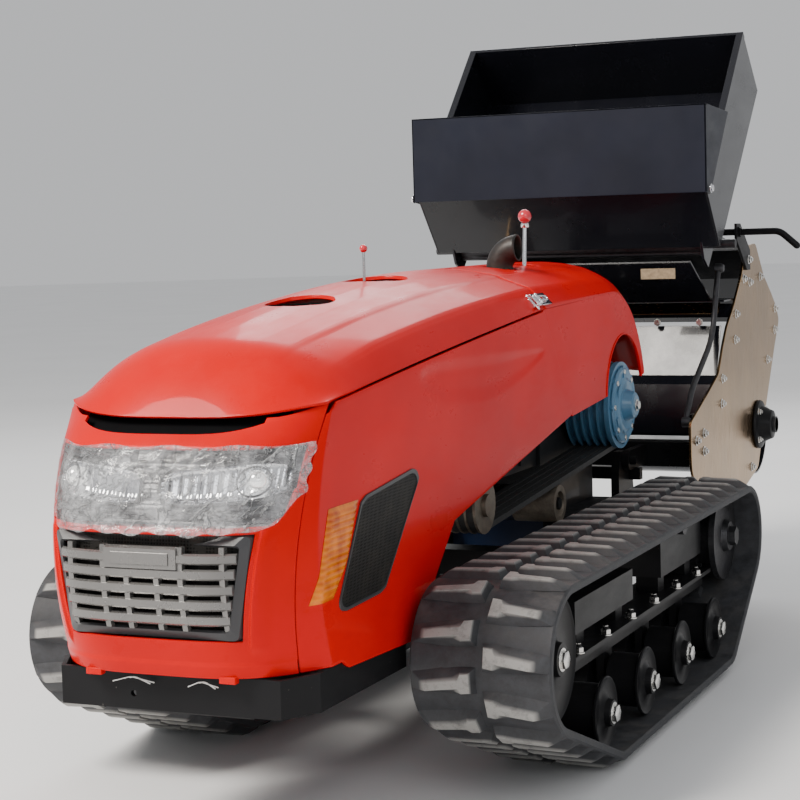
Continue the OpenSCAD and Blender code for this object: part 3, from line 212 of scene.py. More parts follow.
def cast(name, colour, rough=0.5, metal=0.7, rust=0.0):
    """Cast or rolled iron: grainy bump, darker hollows and brown staining"""
    mat, tree, shader, where = new_finish(name)
    grain = noise(tree, where, 90.0, 9.0, 0.7)
    base = blended(tree, ranged(tree, grain, 0.35, 0.65, 0.0, 1.0),
                   tuple(c * 0.7 for c in colour), tuple(min(1, c * 1.3) for c in colour))
    if rust:
        stain = ranged(tree, noise(tree, where, 14.0, 8.0, 0.7), 0.48, 0.68, 0.0, rust)
        base = blended(tree, stain, base, (0.12, 0.055, 0.025))
    dress(tree, shader, base_color=base, metallic=metal,
          roughness=ranged(tree, grain, 0.3, 0.7, rough - 0.1, rough + 0.15))
    bumped(tree, shader, grain, 0.25, 0.0008)
    return mat


def plated(name, colour, rough=0.12, brushed=None):
    """Bright metal; brushed gives the direction its fine scratches are drawn out along"""
    mat, tree, shader, where = new_finish(name)
    cloud = noise(tree, where, 6.0, 4.0)
    base = blended(tree, ranged(tree, cloud, 0.35, 0.65, 0.0, 1.0),
                   tuple(c * 0.86 for c in colour), tuple(min(1, c * 1.08) for c in colour))
    scratch = noise(tree, where, 60.0, 6.0, 0.6, brushed or (1.0, 1.0, 1.0))
    dress(tree, shader, base_color=base, metallic=1.0,
          roughness=ranged(tree, scratch, 0.3, 0.7, rough * 0.7, rough * 1.5))
    bumped(tree, shader, scratch, 0.06 if brushed else 0.03, 0.0004)
    return mat


def track_rubber(name, colour):
    """Black rubber under dust, with the tops of the tread bars worn to a dry grey"""
    mat, tree, shader, where = new_finish(name)
    worn = tree.nodes.new("ShaderNodeAttribute")
    worn.attribute_name = "worn"
    patches = noise(tree, where, 42.0, 9.0, 0.75)
    fine = noise(tree, where, 420.0, 4.0, 0.7)
    base = blended(tree, ranged(tree, patches, 0.35, 0.7, 0.0, 1.0), tuple(c * 0.7 for c in colour),
                   tuple(c * 2.1 for c in colour))
    share = worked(tree, "MULTIPLY", worn.outputs["Fac"],
                   ranged(tree, patches, 0.30, 0.50, 0.45, 1.0))
    base = blended(tree, share, base, (0.30, 0.295, 0.28))
    mud = worked(tree, "MULTIPLY", upward(tree),
                 ranged(tree, noise(tree, where, 17.0, 8.0, 0.7), 0.45, 0.7, 0.0, 0.45))
    base = blended(tree, mud, base, (0.12, 0.11, 0.10))
    dress(tree, shader, base_color=base, roughness=ranged(tree, patches, 0.3, 0.7, 0.52, 0.8))
    bumped(tree, shader, fine, 0.35, 0.0008)
    return mat


def amber_glass(name):
    """Ribbed amber plastic: close upright ribs and a warmer core"""
    mat, tree, shader, where = new_finish(name)
    ribs = tree.nodes.new("ShaderNodeTexWave")
    ribs.bands_direction = "Z"
    ribs.inputs["Scale"].default_value = 34.0
    ribs.inputs["Distortion"].default_value = 0.4
    tree.links.new(where, ribs.inputs["Vector"])
    core = noise(tree, where, 30.0, 3.0)
    base = blended(tree, ranged(tree, core, 0.35, 0.65, 0.0, 1.0), (0.42, 0.055, 0.0), (0.74, 0.17, 0.0))
    # lighter amber along the wave bands of the ribs: a painted glint on each rib
    base = blended(tree, ranged(tree, ribs.outputs["Fac"], 0.0, 1.0, 0.0, 0.22), base, (0.90, 0.34, 0.01))
    dress(tree, shader, base_color=base, roughness=0.18, coat_weight=0.2, specular_ior_level=0.25,
          emission_color=base, emission_strength=0.06)
    bumped(tree, shader, ribs.outputs["Fac"], 0.5, 0.002)
    return mat


def perforated(name):
    """Black sheet with rows of small holes, darker inside each hole"""
    mat, tree, shader, where = new_finish(name)
    cells = tree.nodes.new("ShaderNodeTexVoronoi")
    cells.inputs["Scale"].default_value = 210.0
    cells.inputs["Randomness"].default_value = 0.0
    tree.links.new(where, cells.inputs["Vector"])
    hole = ranged(tree, cells.outputs["Distance"], 0.30, 0.42, 0.0, 1.0)
    # near black at each hole's middle: painted shade for the dark seen through the holes
    base = blended(tree, hole, (0.0010, 0.0010, 0.0012), (0.018, 0.017, 0.016))
    dusty = ranged(tree, noise(tree, where, 26.0, 8.0, 0.7), 0.45, 0.7, 0.0, 0.35)
    base = blended(tree, dusty, base, (0.055, 0.048, 0.038))
    dress(tree, shader, base_color=base, roughness=0.42, specular_ior_level=0.12)
    bumped(tree, shader, hole, 0.8, 0.0015)
    return mat


def clear_film(name, strength=0.62):
    """Thin crinkled clear film: milky along its creases, see-through between them"""
    mat, tree, shader, where = new_finish(name)
    crease = tree.nodes.new("ShaderNodeTexVoronoi")
    crease.feature = "DISTANCE_TO_EDGE"
    crease.inputs["Scale"].default_value = 19.0
    warp = noise(tree, where, 9.0, 5.0, 0.6)
    shifted = tree.nodes.new("ShaderNodeVectorMath")
    shifted.operation = "ADD"
    tree.links.new(where, shifted.inputs[0])
    tree.links.new(worked(tree, "MULTIPLY", warp, 0.22), shifted.inputs[1])
    stretch = tree.nodes.new("ShaderNodeMapping")
    stretch.inputs["Scale"].default_value = (1.0, 1.0, 3.2)
    stretch.inputs["Rotation"].default_value = (0.0, 0.5, 0.0)
    tree.links.new(shifted.outputs[0], stretch.inputs["Vector"])
    tree.links.new(stretch.outputs["Vector"], crease.inputs["Vector"])
    fold = ranged(tree, crease.outputs["Distance"], 0.0, 0.055, 1.0, 0.0)
    cloud = ranged(tree, noise(tree, where, 22.0, 8.0, 0.7), 0.40, 0.72, 0.0, 0.30)
    veil = worked(tree, "ADD", worked(tree, "MULTIPLY", fold, 0.55), cloud)
    dress(tree, shader, alpha=worked(tree, "MINIMUM", worked(tree, "ADD", veil, 0.05), strength),
          base_color=(0.90, 0.91, 0.93), roughness=0.14, coat_weight=1.0)
    bumped(tree, shader, worked(tree, "ADD", fold, worked(tree, "MULTIPLY", warp, 3.0)), 1.0, 0.010)
    mat.surface_render_method = "BLENDED"
    return mat


FINISH = {}


def mix_finishes():
    """All finishes, one for each of the record's slots and a few for small trim"""
    c = colours()
    f = FINISH
    # the peach tint on the bonnet's upward faces is a painted highlight, with a little dust
    f["red_paint"] = paint("red_paint", tuple(c.bonnet), 0.26, coat=0.10, vary=0.09, dust_and_sheen=0.04,
                           dust_and_sheen_tint=(0.62, 0.22, 0.17), peel=0.03, patch=3.2, shine=0.06)
    f["black_paint"] = paint("black_paint", tuple(c.frame), 0.30, coat=0.0, dust_and_sheen=0.16,
                             dust_and_sheen_tint=(0.05, 0.045, 0.040), chips=0.4, shine=0.12)
    f["hopper_paint"] = paint("hopper_paint", tuple(c.hopper), 0.17, coat=0.25, dust_and_sheen=0.06,
                              dust_and_sheen_tint=(0.06, 0.057, 0.055), shine=0.30)
    f["flap_paint"] = paint("flap_paint", tuple(c.flap), 0.34, coat=0.05, vary=0.12, shine=0.15)
    f["gearbox_paint"] = paint("gearbox_paint", (0.006, 0.016, 0.05), 0.3, coat=0.2, dust_and_sheen=0.2,
                               dust_and_sheen_tint=(0.06, 0.055, 0.05), shine=0.3)
    f["engine_paint"] = paint("engine_paint", (0.014, 0.015, 0.017), 0.4, coat=0.1, dust_and_sheen=0.25,
                              dust_and_sheen_tint=(0.06, 0.055, 0.05), shine=0.3)
    f["blue_paint"] = paint("blue_paint", tuple(c.pulley), 0.33, coat=0.25, vary=0.16, peel=0.12,
                            peel_scale=150.0, chips=0.8)
    f["dark_iron"] = cast("dark_iron", (0.050, 0.050, 0.054), 0.42)
    f["pulley_iron"] = cast("pulley_iron", (0.20, 0.17, 0.135), 0.48, rust=0.35)
    f["exhaust_iron"] = cast("exhaust_iron", (0.020, 0.018, 0.017), 0.45, 0.3, rust=0.22)
    f["bright_chrome"] = plated("bright_chrome", (0.80, 0.80, 0.82), 0.10)
    f["float_steel"] = plated("float_steel", (0.55, 0.55, 0.55), 0.25)
    f["zinc_bolts"] = plated("zinc_bolts", (0.74, 0.73, 0.70), 0.24)
    f["stainless"] = plated("stainless", (0.40, 0.25, 0.12), 0.20, (1.0, 5.0, 0.3))
    f["lamp_reflector"] = plated("lamp_reflector", (0.82, 0.83, 0.86), 0.07)
    f["track_rubber"] = track_rubber("track_rubber", tuple(c.rubber))
    f["belt_rubber"] = cast("belt_rubber", (0.018, 0.018, 0.018), 0.62, 0.0)
    f["grille_plastic"] = paint("grille_plastic", (0.040, 0.040, 0.043), 0.32, coat=0.1, dust_and_sheen=0.1, shine=0.3,
                                dust_and_sheen_tint=(0.2, 0.18, 0.16))
    f["amber_lens"] = amber_glass("amber_lens")
    f["mesh_black"] = perforated("mesh_black")
    f["lamp_film"] = clear_film("lamp_film")
    # near black: painted shade for the dark insides of the nose slot and the filler openings
    f["painted_shade_black"] = paint("painted_shade_black", (0.004, 0.004, 0.0045), 0.7, coat=0.0, shine=0.03)
    f["knob_red"] = paint("knob_red", (0.62, 0.012, 0.03), 0.08, coat=1.0)
    f["grille_grey"] = paint("grille_grey", (0.17, 0.165, 0.16), 0.20, metal=0.55, coat=0.4, dust_and_sheen=0.1)
    f["lamp_tray_grey"] = paint("lamp_tray_grey", (0.035, 0.036, 0.040), 0.25, metal=0.3, coat=0.3)
    f["bulb_glass"] = plated("bulb_glass", (0.95, 0.95, 0.92), 0.04)
    tree = f["bulb_glass"].node_tree
    dress(tree, tree.nodes["Principled BSDF"], emission_strength=0.9, emission_color=(1, 0.98, 0.93))
    f["wire_white"] = paint("wire_white", (0.75, 0.75, 0.72), 0.4, coat=0.1)
    f["canvas_tan"] = cast("canvas_tan", (0.32, 0.24, 0.15), 0.5, 0.3)


# ------------------------------------------------------------------ meshes
def quads_of(nu, nv, round_u=False, round_v=False, keep=None):
    """Corner numbers of the four-sided faces of an nu by nv grid of points"""
    i, j = np.meshgrid(np.arange(nu if round_u else nu - 1), np.arange(nv if round_v else nv - 1),
                       indexing="ij")
    i2, j2 = (i + 1) % nu, (j + 1) % nv
    quads = np.stack([i * nv + j, i2 * nv + j, i2 * nv + j2, i * nv + j2], -1)
    return (quads if keep is None else quads[keep]).reshape(-1, 4)


def thicken(obj, thickness):
    """Grows a sheet into a wall, away from the side it faces"""
    wall = obj.modifiers.new("wall", "SOLIDIFY")
    wall.thickness = thickness
    wall.offset = -1.0


def round_edges(obj, radius, angle):
    """Rounds the edges whose faces meet at more than angle degrees"""
    soft = obj.modifiers.new("edges", "BEVEL")
    soft.width = radius
    soft.segments = 2
    soft.limit_method = "ANGLE"
    soft.angle_limit = math.radians(angle)


class Shape:
    """Points and faces gathered from several parts, all in millimetres"""

    def __init__(self):
        self.points, self.faces, self.count, self.worn = [], [], 0, []

    def add(self, points, faces, worn=None):
        points = np.asarray(points, float).reshape(-1, 3)
        self.points.append(points)
        self.worn.append(np.zeros(len(points)) if worn is None else np.asarray(worn, float))
        for block in faces:
            block = np.asarray(block)
            self.faces += (block + self.count).tolist()
        self.count += len(points)
        return self

    def grid(self, points, round_u=False, round_v=False, keep=None):
        """A surface: points[u, v] on a grid, faces where keep is true"""
        nu, nv = points.shape[:2]
        return self.add(points, [quads_of(nu, nv, round_u, round_v, keep)])

    def prism(self, outline, x0, x1):
        """A flat (y, z) outline carried from x0 to x1"""
        o = np.asarray(outline, float)
        n = len(o)
        ends = [np.column_stack([np.full(n, x), o]) for x in (x0, x1)]
        ring = np.arange(n)
        side = np.stack([ring, (ring + 1) % n, (ring + 1) % n + n, ring + n], -1)
        return self.add(np.vstack(ends), [ring[None, ::-1], ring[None] + n, side])

    def box(self, low, high):
        low, high = np.minimum(low, high), np.maximum(low, high)
        return self.prism([(low[1], low[2]), (high[1], low[2]), (high[1], high[2]), (low[1], high[2])],
                          low[0], high[0])

    def slab(self, a, b, t, x0, x1):
        """A sheet across the machine from a to b in (y, z), its thickness on the left"""
        a, b = np.array(a, float), np.array(b, float)
        d = (b - a) / np.linalg.norm(b - a)
        n = np.array([-d[1], d[0]]) * t
        return self.prism([a, b, b + n, a + n], x0, x1)

    def lathe(self, profile, y, z, n=64, axis="x", x=0.0):
        """A (position, radius) profile turned round an axis through (x, y, z); its two
        ends lie on the axis, each closed by a fan of faces"""
        p = np.asarray(profile, float)
        a = np.linspace(0, 2 * np.pi, n, endpoint=False)
        c, s = np.cos(a)[:, None], np.sin(a)[:, None]
        along, r = p[1:-1, 0][None] + 0 * c, p[1:-1, 1][None]
        if axis == "x":
            ring = np.stack([along + x, y + r * c, z + r * s], -1)
            tips = [(p[0, 0] + x, y, z), (p[-1, 0] + x, y, z)]
        elif axis == "y":
            ring = np.stack([x + r * s, along + y, z + r * c], -1)
            tips = [(x, p[0, 0] + y, z), (x, p[-1, 0] + y, z)]
        else:
            ring = np.stack([x + r * c, y + r * s, along + z], -1)
            tips = [(x, y, p[0, 0] + z), (x, y, p[-1, 0] + z)]
        m = ring.shape[1]
        k = np.arange(n)
        fans = [np.stack([np.full(n, n * m), k * m, ((k + 1) % n) * m], -1),
                np.stack([np.full(n, n * m + 1), ((k + 1) % n) * m + m - 1, k * m + m - 1], -1)]
        return self.add(np.vstack([ring.reshape(-1, 3), tips]), [quads_of(n, m, True), *fans])

    def tube(self, path, r, n=16):
        """A round rod of radius r along a path, with rounded ends; the section's two
        directions are carried along the path without twist"""
        path = np.asarray(path, float)
        tangent = np.gradient(path, axis=0)
        tangent /= np.linalg.norm(tangent, axis=1)[:, None]
        side = np.cross(tangent[0], (0.3, 0.4, 0.86))
        sides = []
        for t in tangent:
            side = side - t * (side @ t)
            side /= np.linalg.norm(side)
            sides.append(side)
        sides = np.array(sides)
        ups = np.cross(tangent, sides)
        radius = np.broadcast_to(np.asarray(r, float), len(path)).copy()
        cap = np.linspace(0.25, np.pi / 2, 4)
        ends, reach = np.sin(cap), np.cos(cap)[:, None]
        start, stop = tangent[0] * radius[0], tangent[-1] * radius[-1]
        centres = np.vstack([path[0] - start * reach, path[1:-1], path[-1] + stop * reach[::-1]])
        rr = np.concatenate([radius[0] * ends, radius[1:-1], radius[-1] * ends[::-1]])
        s = np.vstack([np.repeat(sides[:1], 4, 0), sides[1:-1], np.repeat(sides[-1:], 4, 0)])
        u = np.vstack([np.repeat(ups[:1], 4, 0), ups[1:-1], np.repeat(ups[-1:], 4, 0)])
        a = np.linspace(0, 2 * np.pi, n, endpoint=False)
        ring = centres[:, None] + rr[:, None, None] * (np.cos(a)[None, :, None] * s[:, None]
                                                       + np.sin(a)[None, :, None] * u[:, None])
        m = len(centres)
        k = np.arange(n)
        tips = np.vstack([centres[0] - start * 0.03, centres[-1] + stop * 0.03])
        fans = [np.stack([np.full(n, m * n), (k + 1) % n, k], -1),
                np.stack([np.full(n, m * n + 1), (m - 1) * n + k, (m - 1) * n + (k + 1) % n], -1)]
        return self.add(np.vstack([ring.reshape(-1, 3), tips]), [quads_of(m, n, False, True), *fans])

    def bolt(self, at, r=9.0, h=7.0, side=1, washer=True, stud=True):
        """A hexagonal head on the face x = at[0], looking along side, with its washer and stud end"""
        x, y, z = at

        def turned(profile, n):
            self.lathe(np.array(profile) * [side, 1], y, z, n, x=x)

        if washer:
            turned([(0, 0), (0, r * 1.25), (1.6, r * 1.25), (1.6, 0)], 24)
        turned([(0.5, 0), (0.5, r), (h - 1.2, r), (h, r * 0.82), (h, 0)], 6)
        if stud:
            turned([(h, 0), (h, r * 0.55), (h + 3.5, r * 0.5), (h + 4, 0)], 16)
        return self

    def make(self, name, finish, body, slot=False, stands_for=(), bevel=0.0, thick=0.0, facing=None,
             angle=34.0, closed=True):
        """The finished piece, in metres: faces turned outwards, edges rounded, riding on its body"""
        mesh = bpy.data.meshes.new(name)
        points = np.vstack(self.points) * MM
        mesh.from_pydata(points.tolist(), [], self.faces)
        worn = np.concatenate(self.worn)
        if worn.any():
            layer = mesh.attributes.new("worn", "FLOAT", "POINT")
            layer.data.foreach_set("value", worn.astype(np.float32))
        bm = bmesh.new()
        bm.from_mesh(mesh)
        loose = [v for v in bm.verts if not v.link_faces]
        bmesh.ops.delete(bm, geom=loose, context="VERTS")
        if closed and facing is None:
            bmesh.ops.recalc_face_normals(bm, faces=bm.faces)
        elif facing is not None:
            bm.normal_update()
            total = sum((f.normal * f.calc_area() for f in bm.faces), start=Matrix.Identity(3)[0] * 0)
            if total.dot(facing) < 0:
                bmesh.ops.reverse_faces(bm, faces=bm.faces)
        bm.to_mesh(mesh)
        bm.free()
        mesh.shade_smooth()
        mesh.set_sharp_from_angle(angle=math.radians(angle))
        obj = bpy.data.objects.new(name, mesh)
        bpy.context.scene.collection.objects.link(obj)
        mesh.materials.append(FINISH[finish])
        if thick:
            thicken(obj, thick)
        if bevel:
            round_edges(obj, bevel, 35)
        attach(obj, body)
        if stands_for:
            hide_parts(*stands_for)
        return obj


def smooth_step(x):
    """0 below 0, 1 above 1, and 3x^2 - 2x^3 between"""
    x = np.clip(x, 0, 1)
    return x * x * (3 - 2 * x)


def round_path(points, radius, n=7):
    """A polyline whose corners are rounded: each corner becomes a quadratic curve that
    starts and ends radius away from it"""
    p = np.asarray(points, float)
    out = [p[0]]
    t = np.linspace(0, 1, n)[:, None]
    for a, b, c in zip(p[:-2], p[1:-1], p[2:]):
        ra = min(radius, np.linalg.norm(a - b) * 0.45)
        rc = min(radius, np.linalg.norm(c - b) * 0.45)
        s = b + (a - b) / np.linalg.norm(a - b) * ra
        e = b + (c - b) / np.linalg.norm(c - b) * rc
        out += list((1 - t) ** 2 * s + 2 * (1 - t) * t * b + t * t * e)
    out.append(p[-1])
    return np.array(out)


# ------------------------------------------------------------------ machine's own lines
HALF, NOSE_Y, SWEEP, SEAM_Y = 217.0, -1325.0, 118.0, -236.0
CROWN, SHOULDER = 832.0, 755.0


def nose_y(x, z):
    """The nose: a shallow upright bow, rolled back above the lamps, swept back by the
    fourth power of the distance from the middle"""
    roll = 0.006 * np.maximum(0, z - 570) ** 2
    return NOSE_Y + 0.0014 * (z - 450) ** 2 + roll + (SWEEP - roll) * (np.abs(x) / HALF) ** 4


def nose_x(y, z):
    """Half width of the nose's face at (y, z): the same sweep solved for x"""
    roll = 0.006 * np.maximum(0, z - 570) ** 2
    share = (y - NOSE_Y - 0.0014 * (z - 450) ** 2 - roll) / np.maximum(SWEEP - roll, 1)
    return HALF * np.clip(share, 0, 1) ** 0.25


def nose_edge(z):
    return HALF - 27 + 0.063 * (z - 300)


def crown_z(y):
    return CROWN - 0.000103 * (y - SEAM_Y) ** 2


def edge_z(y):
    return SHOULDER + 0.082 * (y - SEAM_Y) - 0.000015 * (y - SEAM_Y) ** 2


def lip_y(x):
    return NOSE_Y + 94 + 78 * (np.abs(x) / HALF) ** 4


CREASE_X = np.array([0, 40, 80, 121, 127, 133, 182, 188, 194, 206, 213, 217.0])
CREASE_H = np.array([1, 0.985, 0.925, 0.820, 0.790, 0.745, 0.525, 0.475, 0.405, 0.215, 0.085, 0.0])


def lamp_mid(x):
    """Height of the long reflectors' middle line, which climbs outwards"""
    return 556 + 0.07 * np.maximum(0, np.abs(x) - 20)


def lamp_sill(x):
    """Lower edge of the lamp opening: level in the middle, climbing near the corners"""
    x = np.abs(x)
    return 506 + 10 * smooth_step((x - 140) / 40) + 38 * smooth_step((x - 180) / 24)


def shoulder_share(x):
    """Height of the bonnet's section over its edge, 0 to 1: a soft crown, a crease over
    the rails and a steeper shoulder outside it"""
    return np.interp(np.abs(x), CREASE_X, CREASE_H)


def hood_z(x, y):
    """Bonnet top: edge height plus the section's share of the crown, which dips to the
    lip over the last 140 mm"""
    d = y - lip_y(x)
    dip = np.where(d > 140, 0, 80 * np.clip(1 - d / 140, 0, 2) ** 2.2)
    edge = edge_z(y)
    smooth = 1 - (np.abs(x) / HALF) ** 2.8
    mix = smooth_step((d - 30) / 260)
    share = smooth * (1 - mix) + shoulder_share(x) * mix
    return edge + (crown_z(y) - dip - edge) * share


def bezier(p, t):
    """Cubic curve through p0 and p3 drawn towards p1 and p2"""
    p = np.asarray(p, float)
    t = np.asarray(t)[..., None]
    return (1 - t) ** 3 * p[0] + 3 * (1 - t) ** 2 * t * p[1] + 3 * (1 - t) * t * t * p[2] + t ** 3 * p[3]


COVER_Y0 = SEAM_Y + 0.8
COVER_MID = [(250, 834), (420, 834), (480, 760), (482, 590)]
COVER_EDGE = [(180, 768), (300, 768), (372, 680), (400, 592)]


def cover_line(p, z0, t):
    """A straight run for t below 0.4, then the cubic curve"""
    t = np.asarray(t, float)
    first = np.stack([COVER_Y0 + (p[0][0] - COVER_Y0) * t / 0.4, z0 + (p[0][1] - z0) * t / 0.4], -1)
    return np.where((t < 0.4)[..., None], first, bezier(p, np.clip((t - 0.4) / 0.6, 0, 1)))


def crinkled(points, amount):
    """Points moved along Y by a sum of a few crossed sine folds"""
    x, z = points[..., 0], points[..., 2]
    fold = (np.sin(x * 0.055 + z * 0.11) + 0.8 * np.sin(x * 0.13 - z * 0.19 + 1.3)
            + 0.6 * np.sin(x * 0.021 + z * 0.31 + 4.1) + 0.5 * np.sin(x * 0.27 + z * 0.07))
    out = points.copy()
    out[..., 1] += amount * fold / 2.9
    return out


# ------------------------------------------------------------------ bonnet pieces
def make_nose():
    """Red nose sheet with openings for the grille and the lamps, and a dark slot above"""
    rows = np.unique(np.concatenate([np.linspace(290, 345, 20), np.linspace(345, 496, 20),
                                     np.linspace(496, 506, 3), np.linspace(506, 611, 14),
                                     np.linspace(611, 626, 4), np.linspace(629, 652, 6)]).round(3))
    k = np.concatenate([np.linspace(0, 4, 13), np.linspace(4, 8, 29)[1:], np.linspace(8, 9, 5)[1:]])
    k = np.concatenate([-k[:0:-1], k])
    # rows above 626 are spread up to the bonnet's lip, and those beside the lamps start
    # at the lamp opening's lower edge, which climbs towards the corners
    flat_x = np.clip(np.abs(k) / 8, 0, 1.02) * 205
    reach = hood_z(flat_x, lip_y(flat_x)) - 2.0
    sill = lamp_sill(flat_x)
    knots = [290, 345, 496, 506, 611, 626, 629, 652]
    bay = 14 * np.clip(np.abs(k) / 3.7, 0, 1) ** 4
    heights = [(290, 345, 496, b, 611, 626, 629 + d, t) for b, d, t in zip(sill, bay, reach)]
    z = np.array([np.interp(rows, knots, h) for h in heights])
    grille = 138 + 23 * np.clip((z - 345) / 151, 0, 1)
    edge = nose_edge(z)
    ak = np.abs(k)[:, None]
    half = np.where(ak <= 4, grille * ak / 4, np.where(ak <= 8, grille + (edge - 7 - grille) * (ak - 4) / 4,
                    edge - 7 + (7 - 0.4) * (ak - 8)))
    x = np.sign(k)[:, None] * half
    y = nose_y(x, z)
    # a raised flank beside the grille and a stepped skirt under it
    ridge = smooth_step((ak - 4.5) / 0.45) * smooth_step((7.0 - ak) / 1.6)
    ridge = ridge * smooth_step((z - 322) / 16) * smooth_step((508 - z) / 16)
    y = y - 5.0 * ridge - 2.5 * smooth_step((314 - z) / 6)
    points = np.stack([x, y, z], -1)
    km = np.abs((k[1:] + k[:-1]) / 2)[:, None]
    zm = ((rows[1:] + rows[:-1]) / 2)[None, :]
    hole = (km < 4) & (zm > 345) & (zm < 496) | (km < 8) & (zm > 506) & (zm < 611) | (km < 3.7) & (zm > 629)
    Shape().grid(points, keep=~hole).make(
        "nose_sheet", "red_paint", "hood", True, ("nose_panel",), bevel=1.2 * MM, thick=sizes().sheet,
        facing=(0, -1, 0), closed=False)
    # near-black sheet behind the slot: painted shade for the dark inside of the slot
    xs = np.linspace(-168, 168, 30)
    zs = np.linspace(618, 654, 4)
    x, z = np.meshgrid(xs, zs, indexing="ij")
    Shape().grid(np.stack([x, nose_y(x, z) + 26, z], -1)).make(
        "slot_shade_sheet", "painted_shade_black", "hood", thick=0.002, facing=(0, -1, 0), closed=False)


def parts_of(result, kind):
    return [part for part in result["geom"] if isinstance(part, kind)]


def close_sheet(bm, obj):
    """Writes an edited sheet back to its object, facing up"""
    bmesh.ops.recalc_face_normals(bm, faces=bm.faces)
    if sum(f.normal.z * f.calc_area() for f in bm.faces) < 0:
        bmesh.ops.reverse_faces(bm, faces=bm.faces)
    bm.to_mesh(obj.data)
    bm.free()
    obj.data.shade_smooth()
    obj.data.set_sharp_from_angle(angle=math.radians(30))


def make_hood_top():
    """Bonnet top: crowned sheet with two long creases and two round filler openings"""
    xs = np.unique(np.concatenate([np.linspace(0, 217, 46), CREASE_X]).round(3))
    xs = np.concatenate([-xs[:0:-1], xs])
    u = np.linspace(0, 1, 91) ** 1.35
    x = xs[:, None] + 0 * u[None]
    y = lip_y(x) + (SEAM_Y - 0.8 - lip_y(x)) * u[None]
    z = hood_z(x, y)
    x = x * (0.978 + 0.022 * smooth_step((y - lip_y(x)) / 90))
    s = Shape().grid(np.stack([x, y, z], -1))
    obj = s.make("bonnet_top", "red_paint", "hood", True, ("hood_top",), facing=(0, 0, 1), closed=False)
    holes = [(NOSE_Y + 519, 58.0), (NOSE_Y + 815, 58.0)]
    bm = bmesh.new()
    bm.from_mesh(obj.data)
    for hy, hr in holes:
        near = [v for v in bm.verts if math.hypot(v.co.x, v.co.y - hy * MM) < (hr + 1.5) * MM]
        bmesh.ops.delete(bm, geom=near, context="VERTS")
        rim = [e for e in bm.edges if e.is_boundary
               and all(math.hypot(v.co.x, v.co.y - hy * MM) < (hr + 22) * MM for v in e.verts)]
        inner = bmesh.ops.extrude_edge_only(bm, edges=rim)
        for v in parts_of(inner, bmesh.types.BMVert):
            d = math.hypot(v.co.x, v.co.y - hy * MM)
            v.co.x *= hr * MM / d
            v.co.y = hy * MM + (v.co.y - hy * MM) * hr * MM / d
            v.co.z = float(hood_z(np.array(v.co.x / MM), np.array(v.co.y / MM))) * MM
        tip = bmesh.ops.extrude_edge_only(bm, edges=parts_of(inner, bmesh.types.BMEdge))
        for v in parts_of(tip, bmesh.types.BMVert):
            d = math.hypot(v.co.x, v.co.y - hy * MM)
            v.co.x *= (d - 2.5 * MM) / d
            v.co.y = hy * MM + (v.co.y - hy * MM) * (d - 2.5 * MM) / d
            v.co.z -= 6 * MM
    close_sheet(bm, obj)
    thicken(obj, sizes().sheet)
    round_edges(obj, 1.0 * MM, 50)
    # cups under the openings
    cups = Shape()
    for hy, hr in holes:
        top = float(hood_z(np.array(0.0), np.array(hy)))
        cups.lathe([(-52, 0), (-52, hr - 6), (-9, hr - 3), (-7, hr - 1), (-9, hr - 5), (-48, hr - 9),
                    (-48, 0)], hy, top, 48, "z")
    # the cups are near black: painted shade for the dark inside the filler openings
    cups.make("filler_cups", "painted_shade_black", "hood")
    latches = Shape()
    for side in (1, -1):
        latches.add(*latch_box(side, (-3, -47, -9), (5, -39, 9)))
        latches.add(*latch_rod(side, (5, -43, -15), (5, -43, 15), 3.6))
    latches.make("latch_barrels", "bright_chrome", "hood", bevel=0.5 * MM)


def latch_frame(side):
    """Turn and place of a latch: X out of the bonnet's shoulder, Y across the seam"""
    a = math.radians(44)
    turn = np.array([[math.cos(a), 0, -math.sin(a)], [0, 1, 0], [math.sin(a), 0, math.cos(a)]])
    at = np.array([206, SEAM_Y, 765.44])
    flip = np.diag([side, 1, 1])
    return flip @ turn, flip @ at


def on_latch(side, shape):
    """A shape's points and faces carried over to the latch of that side"""
    turn, at = latch_frame(side)
    return np.vstack(shape.points) @ turn.T + at, [[f] for f in shape.faces]


def latch_box(side, low, high):
    return on_latch(side, Shape().box(low, high))


def latch_rod(side, a, b, r):
    return on_latch(side, Shape().tube(np.linspace(a, b, 4), r, 14))


